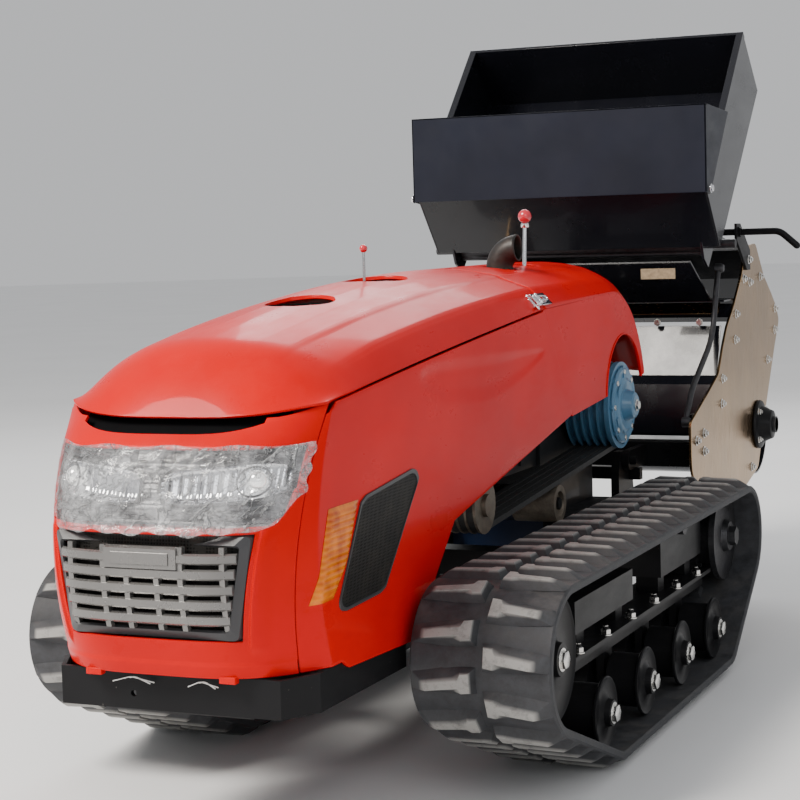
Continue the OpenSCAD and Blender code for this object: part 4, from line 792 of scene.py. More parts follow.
def make_side_panels():
    """Side panels: a flat sheet whose front wraps round the nose's corner, with a long
    pressed relief below the shoulder"""
    ys = np.unique(np.concatenate([np.linspace(0, 1, 34) ** 1.4 * 140 - 1270, np.linspace(-1130, -838, 24),
                                   np.linspace(-838, -700, 14), np.linspace(-700, -236.8, 50),
                                   np.linspace(-236.8, -90, 16)]).round(3))
    v = np.linspace(0, 1, 60)
    low = np.interp(ys, [-1270, -1140, -1120, -838, -790, -700, -88], [290, 290, 277, 266, 348, 430, 545])
    seam = np.interp(ys, [-237, -88.8], [755, 546])
    high = np.where(ys < -236.8, edge_z(ys) - 4.8, seam)
    for side, tag in SIDES:
        z = low[:, None] + (high - low)[:, None] * v[None]
        # the front edge follows the nose's seam
        front = nose_y(nose_edge(z), z) + 0.8
        y = np.maximum(ys[:, None] + 0 * z, front)
        share = np.clip((ys[:, None] + 1270) / 140, 0, 1)
        y = np.where(ys[:, None] < -1130, front + (-1130 - front) * share ** 1.2, y)
        x = nose_x(y, z)
        # pressed relief: a long drop shape, sunk a little with soft walls
        t = np.clip((y + 831) / 591, 0, 1)
        mid = 671 + t - 22 * np.sin(np.pi * np.clip(t, 0, 1)) + 4
        tall = 34 * np.sin(np.pi * np.clip(t, 0, 1) ** 0.8) ** 0.7
        inside = smooth_step(1.6 - np.abs(z - mid) / np.maximum(tall, 1) * 1.3)
        inside = inside * smooth_step((y + 840) / 50) * smooth_step((-230 - y) / 40)
        x = x - 2.6 * inside * (x > 214)
        points = np.stack([side * x, y, z], -1)
        Shape().grid(points).make("side_sheet_" + tag, "red_paint", "chassis", True,
                                  ("side_panel_" + tag,), bevel=1.0 * MM, thick=sizes().sheet,
                                  facing=(side, -0.2, 0), closed=False)


VENT = np.array([(-1064, 511), (-1046, 519), (-872, 537), (-857, 534), (-846, 520), (-972, 386), (-985, 371),
                 (-1006, 365), (-1128, 361), (-1143, 365), (-1148, 377)], float)


def make_vents():
    """Black perforated vents in a thin frame, laid over the side panels"""
    rim, mesh = Shape(), Shape()
    loop = round_path(np.vstack([VENT, VENT[:1]]), 6, 4)[:-1]
    centre = loop.mean(0)
    inner = centre + (loop - centre) * np.array([0.955, 0.93])
    for side in (1, -1):
        at = [nose_x(p[:, 0], p[:, 1]) for p in (loop, inner)]
        ring = np.stack([
            np.column_stack([side * (at[0] + 0.2), loop]),
            np.column_stack([side * (at[0] + 2.6), centre + (loop - centre) * 0.995]),
            np.column_stack([side * (at[1] + 2.6), inner + (loop - inner) * 0.08]),
            np.column_stack([side * (at[1] + 0.4), inner])], 1)
        rim.add(ring, [quads_of(len(loop), 4, True, True)])
        mesh.prism(inner + (loop - inner) * 0.2, side * (HALF - 1), side * (HALF + 1.0))
    rim.make("vent_rims", "grille_plastic", "chassis")
    mesh.make("vent_sheets", "mesh_black", "chassis", True, ("vent_meshes",))


def make_markers():
    """Amber marker lamps: thick ribbed lenses that follow the nose's corner"""
    rows, q = np.linspace(516, 386, 26), np.linspace(0, 1, 14)
    z = rows[:, None] + 0 * q[None]
    front, rear = -1170 - (516 - z) * 0.40, -1072 - (516 - z) * 0.52
    rear = rear - 26 * smooth_step((440 - z) / 60)
    y = front + (rear - front) * q[None]
    s = Shape()
    for side in (1, -1):
        dome = np.minimum(1, np.minimum(q[None], 1 - q[None]) * 9) * np.minimum(
            1, np.minimum(np.arange(26), np.arange(26)[::-1])[:, None] / 2.0)
        x = nose_x(y, z) + 0.6 + 4.2 * dome
        outer = np.stack([side * x, y - (1.0 + 2.2 * dome) * (1 - q[None]), z], -1)
        back = np.stack([side * (nose_x(y, z) - 1.5), y, z], -1)
        nu, nv = z.shape
        n = nu * nv
        quads = quads_of(nu, nv)
        loop = np.concatenate([np.arange(nv), np.arange(1, nu) * nv + nv - 1,
                               (nu - 1) * nv + np.arange(nv - 1)[::-1], np.arange(nu - 1)[::-1][:-1] * nv])
        wall = np.stack([loop, np.roll(loop, -1), np.roll(loop, -1) + n, loop + n], -1)
        s.add(np.vstack([outer.reshape(-1, 3), back.reshape(-1, 3)]), [quads, quads[:, ::-1] + n, wall])
    s.make("marker_lenses", "amber_lens", "chassis", True, ("marker_lamps",))


def make_rear_cover():
    """Rear cover: a sheet swept over the engine, and two cheeks with a wheel arch each"""
    xs = np.unique(np.concatenate([np.linspace(0, 217, 40), CREASE_X]).round(3))
    xs = np.concatenate([-xs[:0:-1], xs])
    t = np.unique(np.concatenate([np.linspace(0, 0.4, 34), np.linspace(0.4, 1, 40)]))
    mid, edge = cover_line(COVER_MID, CROWN, t), cover_line(COVER_EDGE, SHOULDER, t)
    mix = smooth_step(t / 0.75)[None]
    ax = np.abs(xs)[:, None]
    s = (1 - shoulder_share(ax)) * (1 - mix) + (ax / HALF) ** 2.8 * mix
    y = mid[None, :, 0] + (edge - mid)[None, :, 0] * s
    z = mid[None, :, 1] + (edge - mid)[None, :, 1] * s
    points = np.stack([xs[:, None] + 0 * y, y, z], -1)
    obj = Shape().grid(points).make("rear_cover_sheet", "red_paint", "chassis", True, ("rear_cover",),
                                    facing=(0, 0.3, 1), closed=False)
    bm = bmesh.new()
    bm.from_mesh(obj.data)
    for hx, hy, hr in ((60, -50, 36), (60, 96, 26)):
        def within(v, reach):
            return math.hypot(v.co.x - hx * MM, v.co.y - hy * MM) < reach * MM and v.co.z > 0.74

        bmesh.ops.delete(bm, geom=[v for v in bm.verts if within(v, hr)], context="VERTS")
        rim = [e for e in bm.edges if e.is_boundary and all(within(v, hr + 24) for v in e.verts)]
        inner = bmesh.ops.extrude_edge_only(bm, edges=rim)
        for v in parts_of(inner, bmesh.types.BMVert):
            dx, dy = v.co.x - hx * MM, v.co.y - hy * MM
            d = math.hypot(dx, dy)
            v.co.x, v.co.y = hx * MM + dx * hr * MM / d, hy * MM + dy * hr * MM / d
    close_sheet(bm, obj)
    thicken(obj, sizes().sheet)
    # cheeks
    line = cover_line(COVER_EDGE, SHOULDER - 1, np.linspace(0, 1, 50)) - (0, 0.3)
    a = np.linspace(math.atan2(26, 118), math.pi - math.atan2(4, 121), 60)
    arch = np.column_stack([255 + 121 * np.cos(a), 557 + 121 * np.sin(a)])
    outline = np.vstack([line, [(399, 586), (385, 584)], arch, [(134, 559), (-87, 541)]])
    cheeks = Shape()
    for side in (1, -1):
        cheeks.prism(outline, side * (HALF - 4), side * HALF)
        # rolled bead round the arch
        bead = [np.full(60, side * (HALF + 0.2)), 255 + 123 * np.cos(a), 557 + 123 * np.sin(a)]
        cheeks.tube(np.column_stack(bead), 2.2, 8)
    cheeks.make("rear_cover_cheeks", "red_paint", "chassis", True, bevel=1.0 * MM)
    keepers = Shape()
    for side in (1, -1):
        keepers.add(*latch_box(side, (-3, 6, -9), (7, 18, 9)))
    keepers.make("latch_keepers", "bright_chrome", "chassis", bevel=0.8 * MM)
    Shape().box((-40, 355, 616), (40, 476, 624)).make("cover_stay", "black_paint", "chassis", True,
                                                      bevel=0.8 * MM)


def make_latches():
    """Toggle latches: a plate, its two ears and a wire bail to the hook"""
    for side, tag in SIDES:
        s = Shape()
        s.add(*latch_box(side, (9.5, -47, -14), (12.5, -26, 14)))
        s.add(*latch_box(side, (9.5, -26, -14), (12.5, 26, -7)))
        s.add(*latch_box(side, (9.5, -26, 7), (12.5, 26, 14)))
        s.add(*latch_box(side, (9.5, 4, -14), (12.5, 26, 14)))
        for z in (-14, 9.5):
            s.add(*latch_box(side, (2.5, -46, z), (12, -39, z + 4.5)))
        s.add(*latch_box(side, (3, 18.4, -9), (11, 26, 9)))
        s.make("toggle_" + tag, "bright_chrome", "hood_latch_" + tag, True,
               ("hood_latch_" + tag,), bevel=0.9 * MM)
        bail = Shape()
        loop = round_path([(15, -34, -5), (15, 12, -5), (15, 12, 5), (15, -34, 5)], 5, 6)
        bail.add(*on_latch(side, Shape().tube(loop, 1.8, 10)))
        bail.add(*latch_rod(side, (14.5, -30, -9), (14.5, -30, 9), 3.2))
        bail.make("bail_" + tag, "bright_chrome", "hood_latch_" + tag)


def make_headlamps():
    """Lamp housing: one long reflector and one bulb a side in a stepped tray, under a
    crinkled film"""
    house = Shape()
    xs, zs = np.linspace(-200, 200, 141), np.linspace(507, 610, 41)
    x, z = np.meshgrid(xs, zs, indexing="ij")
    # one long reflector a side: a flat superellipse 172 mm by 50 mm, sunk into the tray
    d = (np.abs(np.abs(x) - 102) / 86) ** 4 + (np.abs(z - lamp_mid(x)) / 25) ** 4
    depth = 20 + 1.2 * np.sin(z * 0.9) * (d >= 1) + np.where(d < 1, 6 + 16 * np.sqrt(np.clip(1 - d, 0, 1)), 0)
    depth = depth + np.where(d < 0.9, 2.0 * np.sin(np.abs(x) * 0.42), 0)
    w = nose_edge(z) - 9
    xx = x / 200 * w
    tray = np.stack([xx, nose_y(xx, z) + depth, z], -1)
    middle = (depth[1:, 1:] + depth[:-1, :-1]) / 2
    bowl = middle > 24.5
    house.grid(tray, keep=bowl)
    house.make("lamp_bowls", "lamp_reflector", "hood", True, ("headlamp_unit",), thick=0.002,
               facing=(0, -1, 0), closed=False, angle=50)
    Shape().grid(tray, keep=~bowl).make("lamp_tray", "lamp_tray_grey", "hood", thick=0.002, facing=(0, -1, 0),
                                        closed=False, angle=50)
    bulbs, trim = Shape(), Shape()
    a = np.linspace(0, np.pi, 14)
    ring = np.linspace(0, 2 * np.pi, 73)[:-1]
    for side in (1, -1):
        cx, r = 148 * side, 15
        cz = float(lamp_mid(np.array(cx)))
        cy = float(nose_y(np.array(abs(cx)), np.array(cz))) + 30
        bulbs.lathe([(-r * math.cos(t), r * math.sin(t)) for t in a], cy, cz, 28, "y", x=cx)
        px, pz = cx + (r + 5) * np.cos(ring), cz + (r + 5) * np.sin(ring)
        trim.tube(np.column_stack([px, nose_y(px, pz) + 19, pz]), 1.6, 8)
        px = side * (102 + 87 * np.sign(np.cos(ring)) * np.abs(np.cos(ring)) ** 0.5)
        pz = lamp_mid(px) + 26 * np.sign(np.sin(ring)) * np.abs(np.sin(ring)) ** 0.5
        trim.tube(np.column_stack([px, nose_y(px, pz) + 17, pz]), 2.2, 8)
    bulbs.make("lamp_bulbs", "bulb_glass", "hood")
    trim.make("lamp_rings", "grille_plastic", "hood")
    bars = Shape()
    for z0 in (522, 598):
        px = np.linspace(-195, 195, 40)
        bars.tube(np.column_stack([px, nose_y(px, np.full(40, float(z0))) + 13, np.full(40, z0)]), 3.0, 8)
    bars.make("lamp_bars", "grille_plastic", "hood")
    # the film, a little larger than the opening
    u, v = np.linspace(-1, 1, 120), np.linspace(0, 1, 44)
    u, v = np.meshgrid(u, v, indexing="ij")
    sill = lamp_sill(u * 204) - 9 + 2 * np.sin(u * 29)
    z = sill + (614 - sill) * v + 2.0 * np.sin(u * 13)
    x = u * (nose_edge(z) + 0.5 + 1.5 * np.sin(v * 17))
    film = np.stack([x, nose_y(x, z) - 1.6 - 4.5 * smooth_step((508 - z) / 8), z], -1)
    edge = np.minimum(1, np.minimum(1 - np.abs(u), np.minimum(v, 1 - v) * 2) * 7)
    film = film + (crinkled(film, 2.4) - film) * (0.35 + 0.65 * edge[..., None])
    Shape().grid(film).make("lamp_film", "lamp_film", "hood", True, ("headlamp_lens",), thick=0.0006,
                            facing=(0, -1, 0), closed=False, angle=80)


def nose_bar(shape, xs, zs, section):
    """A bar that follows the nose through the points (xs, zs); section holds its corners
    as steps in (x, y, z), and 1 where the step in z moves the corner along the nose too"""
    ring = np.stack([np.column_stack([xs + dx, nose_y(xs, zs + flat * dz) + dy, zs + dz])
                     for dx, dy, dz, flat in section], 1)
    n, k = ring.shape[:2]
    ends = np.arange(k)
    shape.add(ring, [quads_of(n, k, False, True), ends[None], ends[None, ::-1] + (n - 1) * k])


def make_grille():
    """Grille: a raised frame, slats, a plain centre plate and a dark sheet behind"""
    n = sizes().slats

    def half(z):
        return 138 + 23 * np.clip((z - 345) / 151, 0, 1)

    frame_ring = Shape()
    z0, z1 = 346.5, 494.5
    corners = np.array([(-half(z0) + 2, z0), (half(z0) - 2, z0), (half(z1) - 1, z1), (-half(z1) + 1, z1)])
    loop = round_path(np.vstack([corners[3:], corners, corners[:1]])[0:6], 9, 6)[1:-1]
    centre = loop.mean(0)
    rings = []
    for wide, high, lift in ((1.0, 1.0, 3.0), (0.992, 0.985, -3.2), (0.915, 0.83, -3.6), (0.895, 0.79, 2.0),
                             (0.895, 0.79, 8.0), (1.0, 1.0, 8.0)):
        p = centre + (loop - centre) * np.array((wide, high))
        rings.append(np.column_stack([p[:, 0], nose_y(p[:, 0], p[:, 1]) + lift, p[:, 1]]))
    frame_ring.add(np.stack(rings, 1), [quads_of(len(loop), 6, True, True)])
    frame_ring.make("grille_frame", "grille_plastic", "hood", True, ("grille",), angle=28)
    slats = Shape()
    for k in range(n):
        zc = 366 + (474 - 366) * (k + 0.5) / n
        xs = np.linspace(-1, 1, 60) * (half(zc) - 15)
        nose_bar(slats, xs, np.full(60, zc), [(0, a, b, 0) for a, b in (
            (0.5, 8.0), (-3.6, 5.4), (-4.0, -4.6), (-0.5, -7.4), (7, -4.5), (7, 5.0))])
    for x0, z1 in ((-122, 480), (122, 480), (-62, 480), (62, 480), (-24, 440), (24, 440)):
        nose_bar(slats, np.full(20, float(x0)), np.linspace(361, z1, 20),
                 [(a, b, 0, 0) for a, b in ((-4, -2), (4, -2), (4, 8), (-4, 8))])
    slats.make("grille_slats", "grille_grey", "hood")
    plate = Shape()
    for xw, za, zb, out in ((58, 446, 480, -5.0), (46, 452, 474, -6.4)):
        nose_bar(plate, np.linspace(-xw, xw, 24), np.full(24, float(za)), [(0, o, z - za, 1) for z, o in (
            (za, out + 7), (za + 3, out), (zb - 3, out), (zb, out + 7))])
    plate.make("grille_plate", "grille_grey", "hood")
    u, zs = np.linspace(-0.97, 0.97, 40), np.linspace(347, 494, 14)
    z = zs[None] + 0 * u[:, None]
    x = u[:, None] * half(z)
    Shape().grid(np.stack([x, nose_y(x, z) + 14, z], -1)).make(
        "grille_mesh", "mesh_black", "hood", thick=0.001, facing=(0, -1, 0), closed=False)


# ------------------------------------------------------------------ tracks
TRACK_X, BELT_W, BELT_T, LUG_H = 348.0, 230.0, 14.0, 16.0
WHEELS = np.array([(-822, 238, 105), (-566, 92, 62), (148, 92, 62), (322, 252, 91)], float)


def track_loop(e, per_arc=40):
    """The loop e outside the four wheels: an arc round each and a straight run to the
    next, as points with their outward directions"""
    w = WHEELS
    nxt = np.roll(w, -1, 0)
    d = nxt[:, :2] - w[:, :2]
    lean = np.arccos((w[:, 2] - nxt[:, 2]) / np.linalg.norm(d, axis=1))
    leave = np.degrees(np.arctan2(d[:, 1], d[:, 0]) - lean)
    arrive = np.roll(leave, 1)
    arrive = arrive - np.where(arrive > leave, 360, 0)
    points, normals = [], []
    for (y, z, r), a, b, (y2, z2, r2) in zip(w, arrive, leave, nxt):
        t = np.radians(np.linspace(a, b, per_arc))
        n = np.column_stack([np.cos(t), np.sin(t)])
        points.append(np.array([y, z]) + (r + e) * n)
        normals.append(n)
        end = np.array([y2, z2]) + (r2 + e) * n[-1]
        m = np.linspace(0, 1, 30)[1:-1, None]
        points.append(points[-1][-1] * (1 - m) + end * m)
        normals.append(np.repeat(n[-1:], 28, 0))
    return np.vstack(points), np.vstack(normals)


def make_track(side, tag):
    """Rubber track: a carcass with rounded edges, two staggered rows of skewed tread bars
    with a head at the inner end, and guide blocks inside"""
    p, n = track_loop(BELT_T)
    h = BELT_W / 2
    section = np.array([(-h, -3), (-h + 3, 0), (-60, 0.6), (-56, 1.6), (0, 1.2), (56, 1.6), (60, 0.6),
                        (h - 3, 0), (h, -3), (h, -BELT_T + 3), (h - 3, -BELT_T), (-h + 3, -BELT_T),
                        (-h, -BELT_T + 3)])
    ring = np.stack([np.column_stack([np.full(len(p), side * (TRACK_X + x)), p + n * e])
                     for x, e in section], 1)
    s = Shape().grid(ring, True, True)
    q = np.vstack([p, p[:1]])
    length = np.concatenate([[0], np.cumsum(np.linalg.norm(np.diff(q, axis=0), axis=1))])
    total = length[-1]
    count = int(total // (sizes().lug_pitch / MM))
    step = total / count
    m = np.vstack([n, n[:1]])

    def at(s0):
        s0 = s0 % total
        y, z = np.interp(s0, length, q[:, 0]), np.interp(s0, length, q[:, 1])
        out = np.array([np.interp(s0, length, m[:, 0]), np.interp(s0, length, m[:, 1])])
        return np.array([y, z]), out / np.linalg.norm(out)

    # a bar of the row at +x as outlines in (x, along) from the middle outwards: a broad
    # foot, and a narrow top with a head at its inner end; all lean outwards along the track
    foot = np.array([(5, -21), (30, -22), (60, -20), (110, -14), (113, -9), (113, 9), (110, 14), (60, 20),
                     (30, 22), (5, 21)], float)
    top = np.array([(12, -15), (25, -15), (30, -6.5), (84, -6), (86, -5), (86, 5), (84, 6), (30, 6.5),
                    (25, 15), (12, 15)], float)
    foot[:, 1] += 0.05 * (foot[:, 0] - 12)
    top[:, 1] += 0.14 * (top[:, 0] - 12)
    waist = foot * 0.35 + top * 0.65
    k = np.arange(len(foot))
    wall = np.stack([k, (k + 1) % 10, (k + 1) % 10 + 10, k + 10], -1)
    for i in range(count):
        for row in (1, -1):
            c, out = at((i + (0.25 if row > 0 else 0.75)) * step)
            along = np.array([-out[1], out[0]])
            blocks = []
            for outline, e in ((foot, -0.5), (waist, LUG_H * 0.72), (top, LUG_H)):
                yz = c + out * e + along * outline[:, 1:2]
                yz[:, 1] = np.maximum(yz[:, 1], 0.0)
                blocks.append(np.column_stack([side * (TRACK_X + row * outline[:, 0]), yz]))
            s.add(np.vstack(blocks), [wall, wall + 10, k[None, ::-1], k[None] + 20],
                  np.repeat([0, 0.02, 1.0], 10))
        c, out = at((i + 0.5) * step)
        along = np.array([-out[1], out[0]])
        blocks = []
        for e, wx, wy in ((-BELT_T + 1, 13, 15), (-BELT_T - 12, 9, 10)):
            o = np.array([(-wx, -wy), (wx, -wy), (wx, wy), (-wx, wy)], float)
            blocks.append(np.column_stack([side * (TRACK_X + o[:, 0]), c + out * e + along * o[:, 1:2]]))
        kk = np.arange(4)
        s.add(np.vstack(blocks), [np.stack([kk, (kk + 1) % 4, (kk + 1) % 4 + 4, kk + 4], -1), kk[None, ::-1],
                                  kk[None] + 4])
    s.make("track_" + tag, "track_rubber", "chassis", True, ("track_belt_" + tag,), angle=30)


def spool(name, body, y, z, side, r, drum, boss):
    """A twin-rim wheel that stands for the body's own node: two rims, a drum with a groove
    in the middle for its hanger, a hub and a large bolt"""
    x = side * TRACK_X
    p = [(-64, 0), (-64, boss), (-60, boss + 3), (-60, r - 5), (-58.5, r - 1), (-56, r), (-52, r),
         (-49, r - 1), (-48, r - 5), (-47, drum + 2), (-44, drum), (-17, drum), (-17, 14), (17, 14),
         (17, drum), (68, drum), (72, drum + 3), (74, r - 3), (75.5, r - 1), (79, r - 1), (80.5, r - 3),
         (79, r - 6), (77, r - 9), (75, boss + 16), (78, boss + 6), (82, boss + 2), (92, boss),
         (92, boss - 4), (92, 0)]
    prof = np.array(p, float) * [side, 1]
    s = Shape().lathe(prof, y, z, 72, x=x)
    s.make(name + "_wheel", "black_paint", body, True, (body,), angle=32)
    b = Shape().bolt((x + side * 92, y, z), 15, 9, side, True, False)
    b.make(name + "_bolt", "zinc_bolts", body, bevel=0.5 * MM)


def make_wheels():
    for side, tag in SIDES:
        for i, y in enumerate((-566, -328, -90, 148)):
            spool(f"roller_{tag}_{i + 1}", f"track_roller_{tag}_{i + 1}", y, 92, side, 61.6, 48, 22)
        spool(f"idler_{tag}", "front_idler_" + tag, -822, 238, side, 104.6, 87, 26)


# ------------------------------------------------------------------ drive and fittings
def make_pulley_face():
    """Face of the clutch pulley: a pressed dish with an oval relief, a hub cap and rim bolts"""
    y, z = 275, 529
    s = Shape()
    s.lathe([(203, 0), (203, 78), (207, 80), (211, 76), (210, 60), (213, 57), (216, 50), (214, 34), (222, 31),
             (233, 27), (236, 22), (236, 0)], y, z, 72)
    a = np.linspace(0, 2 * np.pi, 41)[:-1]
    for turn in (0.4, 2.5, 4.6):
        c = np.array([y + 47 * math.cos(turn), z + 47 * math.sin(turn)])
        oval = np.column_stack([12 * np.cos(a), 18 * np.sin(a)])
        m = np.array([[math.cos(turn), -math.sin(turn)], [math.sin(turn), math.cos(turn)]])
        loop = c + oval @ m.T
        s.tube(np.column_stack([np.full(40, 213.0), loop]), 1.8, 8)
    s.make("pulley_dish", "blue_paint", "clutch_pulley", True, angle=28)
    b = Shape()
    for t in np.linspace(0, 2 * np.pi, 9)[:-1]:
        b.bolt((207, y + 69 * math.cos(t), z + 69 * math.sin(t)), 6.5, 6, 1, True, False)
    b.bolt((236, y, z), 10, 7, 1, True, False)
    b.make("pulley_bolts", "zinc_bolts", "clutch_pulley", bevel=0.4 * MM)


def make_fittings():
    """Exhaust elbow, stop lever, float rod, and the nose's tabs, pins and loose wire clips"""
    t = np.radians(np.linspace(180, 90, 16))
    path = np.vstack([[(60, -50, z) for z in np.linspace(640, 822, 10)],
                      np.column_stack([100 + 40 * np.cos(t), np.full(16, -50.0), 827 + 40 * np.sin(t)])])
    tangent = np.gradient(path, axis=0)
    tangent /= np.linalg.norm(tangent, axis=1)[:, None]
    side = np.array([0, 1.0, 0])
    up = np.cross(tangent, side)
    a = np.linspace(0, 2 * np.pi, 40, endpoint=False)
    ring = path[:, None] + 26 * (np.cos(a)[None, :, None] * side + np.sin(a)[None, :, None] * up[:, None])
    pipe = Shape().grid(ring, False, True)
    pipe.make("exhaust_elbow", "exhaust_iron", "chassis", True, ("exhaust_pipe",), thick=0.003,
              angle=40)
    weld = Shape()
    b = np.linspace(0, 2 * np.pi, 41)[:-1]
    weld.tube(np.column_stack([60 + 27 * np.cos(b), -50 + 27 * np.sin(b), 826 + 1.2 * np.sin(b * 9)]), 2.2, 8)
    weld.make("exhaust_weld", "exhaust_iron", "chassis")
    rod = Shape().tube(np.linspace((60, 80, 700), (60, 102, 915), 8), 4, 16)
    rod.lathe([(-8, 0), (-8, 10), (-7, 10.5), (7, 10.5), (8, 10), (8, 0)], 80, 700, 32, x=60)
    rod.make("stop_rod", "bright_chrome", "stop_lever", True, ("stop_lever",))
    Shape().lathe([(0, 0), (0, 7.5), (1.5, 8.5), (8, 8.5), (10, 7), (10, 0)], 102, 906, 32, "z", x=60).make(
        "stop_collar", "bright_chrome", "stop_lever")
    knob = [(-14 * math.cos(q), 14 * math.sin(q)) for q in np.linspace(0, math.pi, 26)]
    Shape().lathe(knob, 102, 929, 48, "z", x=60).make("stop_knob", "knob_red", "stop_lever")
    Shape().tube(np.linspace((0, -555, 762), (0, -555, 872), 6), 2.4, 12).make(
        "float_wire", "float_steel", "water_float", True, ("water_float",))
    ball = [(-7 * math.cos(q), 7 * math.sin(q)) for q in np.linspace(0, math.pi, 18)]
    Shape().lathe(ball, -555, 877, 32, "z", x=0).make("float_ball", "knob_red", "water_float")
    pins, wires = Shape(), Shape()
    for x, w in ((-52, 34), (62, 24)):
        long = [(x - w, -1273.4, 272), (x - 3, -1275, 281), (x + w, -1273.4, 274)]
        short = [(x - 5, -1274, 279), (x + 4, -1275, 281.5), (x + w * 0.8, -1273.4, 272)]
        wires.tube(round_path(long, 6), 0.9, 8).tube(round_path(short, 5), 0.9, 8)
    tabs = Shape()
    for x in (-101, 101):
        s = 1 if x > 0 else -1
        pins.tube(np.linspace((x - 18, -1265, 296), (x + 18, -1265, 296), 6), 3, 12)
        tabs.prism([(-1288, 283), (-1276, 283), (-1276, 293), (-1288, 293)], x + 8 * s - 13, x + 8 * s + 13)
    tabs.make("hinge_tabs", "red_paint", "hood", bevel=1.2 * MM)
    wires.make("hinge_clips", "wire_white", "chassis")
    pins.make("hinge_pins", "zinc_bolts", "hood")


def make_track_trim():
    """Nuts on the track frame's top flange and the tension screw's bright thread"""
    for side, tag in SIDES:
        s = Shape()
        for i in range(6):
            y = -656 + 60 + 150 * i
            x = side * (TRACK_X + 42)
            s.lathe([(0, 0), (0, 11), (2, 11), (2, 0)], y, 197, 24, "z", x=x)
            s.lathe([(2, 0), (2, 9), (10, 9), (11, 7.5), (11, 0)], y, 197, 6, "z", x=x)
            s.lathe([(11, 0), (11, 5), (17, 4.6), (17.5, 0)], y, 197, 16, "z", x=x)
        s.make("flange_nuts_" + tag, "zinc_bolts", "chassis", bevel=0.3 * MM)
        t = Shape()
        n = 18
        prof = [(0, 0), (0, 8.2)]
        for i in range(n):
            prof += [(2 + i * 2.2, 8.6), (3.1 + i * 2.2, 7.4)]
        prof += [(n * 2.2 + 3, 8.2), (n * 2.2 + 3, 0)]
        t.lathe(np.array(prof), -263, 254, 28, "y", x=side * TRACK_X)
        t.make("screw_thread_" + tag, "zinc_bolts", "idler_yoke_" + tag)


# ------------------------------------------------------------------ hopper and implement
REAR_TOP, BEND, THROAT_R, THROAT_F, AXIS = (836, 1339), (975, 1215), (653, 902), (596, 852), (484, 979)


def make_hopper():
    """Hopper: two side walls, front foot, rear slope and rear top with a folded rim"""
    s = Shape()
    wall = [REAR_TOP, AXIS, THROAT_F, THROAT_R, BEND]
    for side in (1, -1):
        s.prism(wall, side * 334, side * 338)
        # folded lip along the side walls' upper edge, turned in
        a, b = np.array(AXIS, float), np.array(REAR_TOP, float)
        d = (b - a) / np.linalg.norm(b - a)
        s.slab(a + d * 30, b, -3, side * 322, side * 334.5)
    s.slab(THROAT_F, AXIS, -4, -334.5, 334.5)
    s.slab(BEND, THROAT_R, -4, -334.5, 334.5)
    s.slab(REAR_TOP, BEND, -4, -334.5, 334.5)
    down = (np.array(BEND) - REAR_TOP) / np.linalg.norm(np.array(BEND, float) - REAR_TOP)
    lap = np.array([down[1], -down[0]]) * 2
    s.slab(np.array(REAR_TOP) + lap, np.array(REAR_TOP) + lap + down * 18, 6, -338, 338)
    for side in (1, -1):
        s.prism([(586, 864), (659, 908), (700, 862), (640, 806), (604, 826)], side * 294, side * 300)
    s.make("hopper_walls", "hopper_paint", "implement", True, ("hopper",), bevel=sizes().edge)
    # long lap joint on the under side: a second plate edge, as on the real foot
    foot = Shape()
    a, b = np.array(THROAT_F, float), np.array(AXIS, float)
    m = (a + b) / 2 + (4, 5)
    d = (b - a) / np.linalg.norm(b - a)
    foot.slab(m - d * 3, m + d * 3, 2.5, -333, 333)
    foot.make("hopper_fold", "hopper_paint", "implement", bevel=0.6 * MM)
    bolts = Shape()
    for side in (1, -1):
        bolts.bolt((side * 347.5, 486, 979), 8, 6, side, True, False)
    bolts.make("flap_bolts", "bright_chrome", "implement", bevel=0.4 * MM)


def make_flap():
    """Folding flap: one bent sheet with a hemmed top and two wings"""
    s = Shape()
    s.box((-342.4, 470, 971), (342.4, 474, 1160))
    s.box((-342.4, 470, 1156), (342.4, 484, 1160))
    for side in (1, -1):
        s.prism([(470, 971), (504, 967), (668, 1151), (484, 1160), (470, 1160)], side * 338.4, side * 342.4)
    s.make("flap_sheet", "flap_paint", "hopper_flap", True, ("hopper_flap",), bevel=1.2 * MM)


PLATE = np.array([(978, 846), (1081, 853), (1165, 772), (1250, 722), (1300, 688), (1329, 652), (1274, 585),
                  (1165, 434), (1080, 300), (938, 268), (720, 262), (520, 300), (462, 366), (458, 395),
                  (458, 474), (613, 527), (705, 561), (749, 622), (790, 666), (855, 709), (938, 780)], float)
# Places of the parts that turn or fold in the implement, as (y, z)
ROTOR, HANDLE, LINK_TOP, LINK_FOOT = (1084, 407), (887, 882), (792, 800), (486, 472)


def make_side_plates():
    """Stainless side plates with rounded corners, and the black bracket that carries the feed handle"""
    loop = round_path(np.vstack([PLATE, PLATE[:2]]), 14, 5)[1:-1]
    for side, tag in SIDES:
        s = Shape().prism(loop, side * 297, side * 303)
        s.make("cheek_" + tag, "stainless", "implement", True, ("side_plate_" + tag,), bevel=sizes().edge)
        b = Shape().prism([(868, 902), (906, 902), (1000, 838), (1000, 790), (968, 790), (868, 864)],
                          side * 303, side * 309)
        b.make("handle_bracket_" + tag, "black_paint", "implement", True, bevel=sizes().edge)


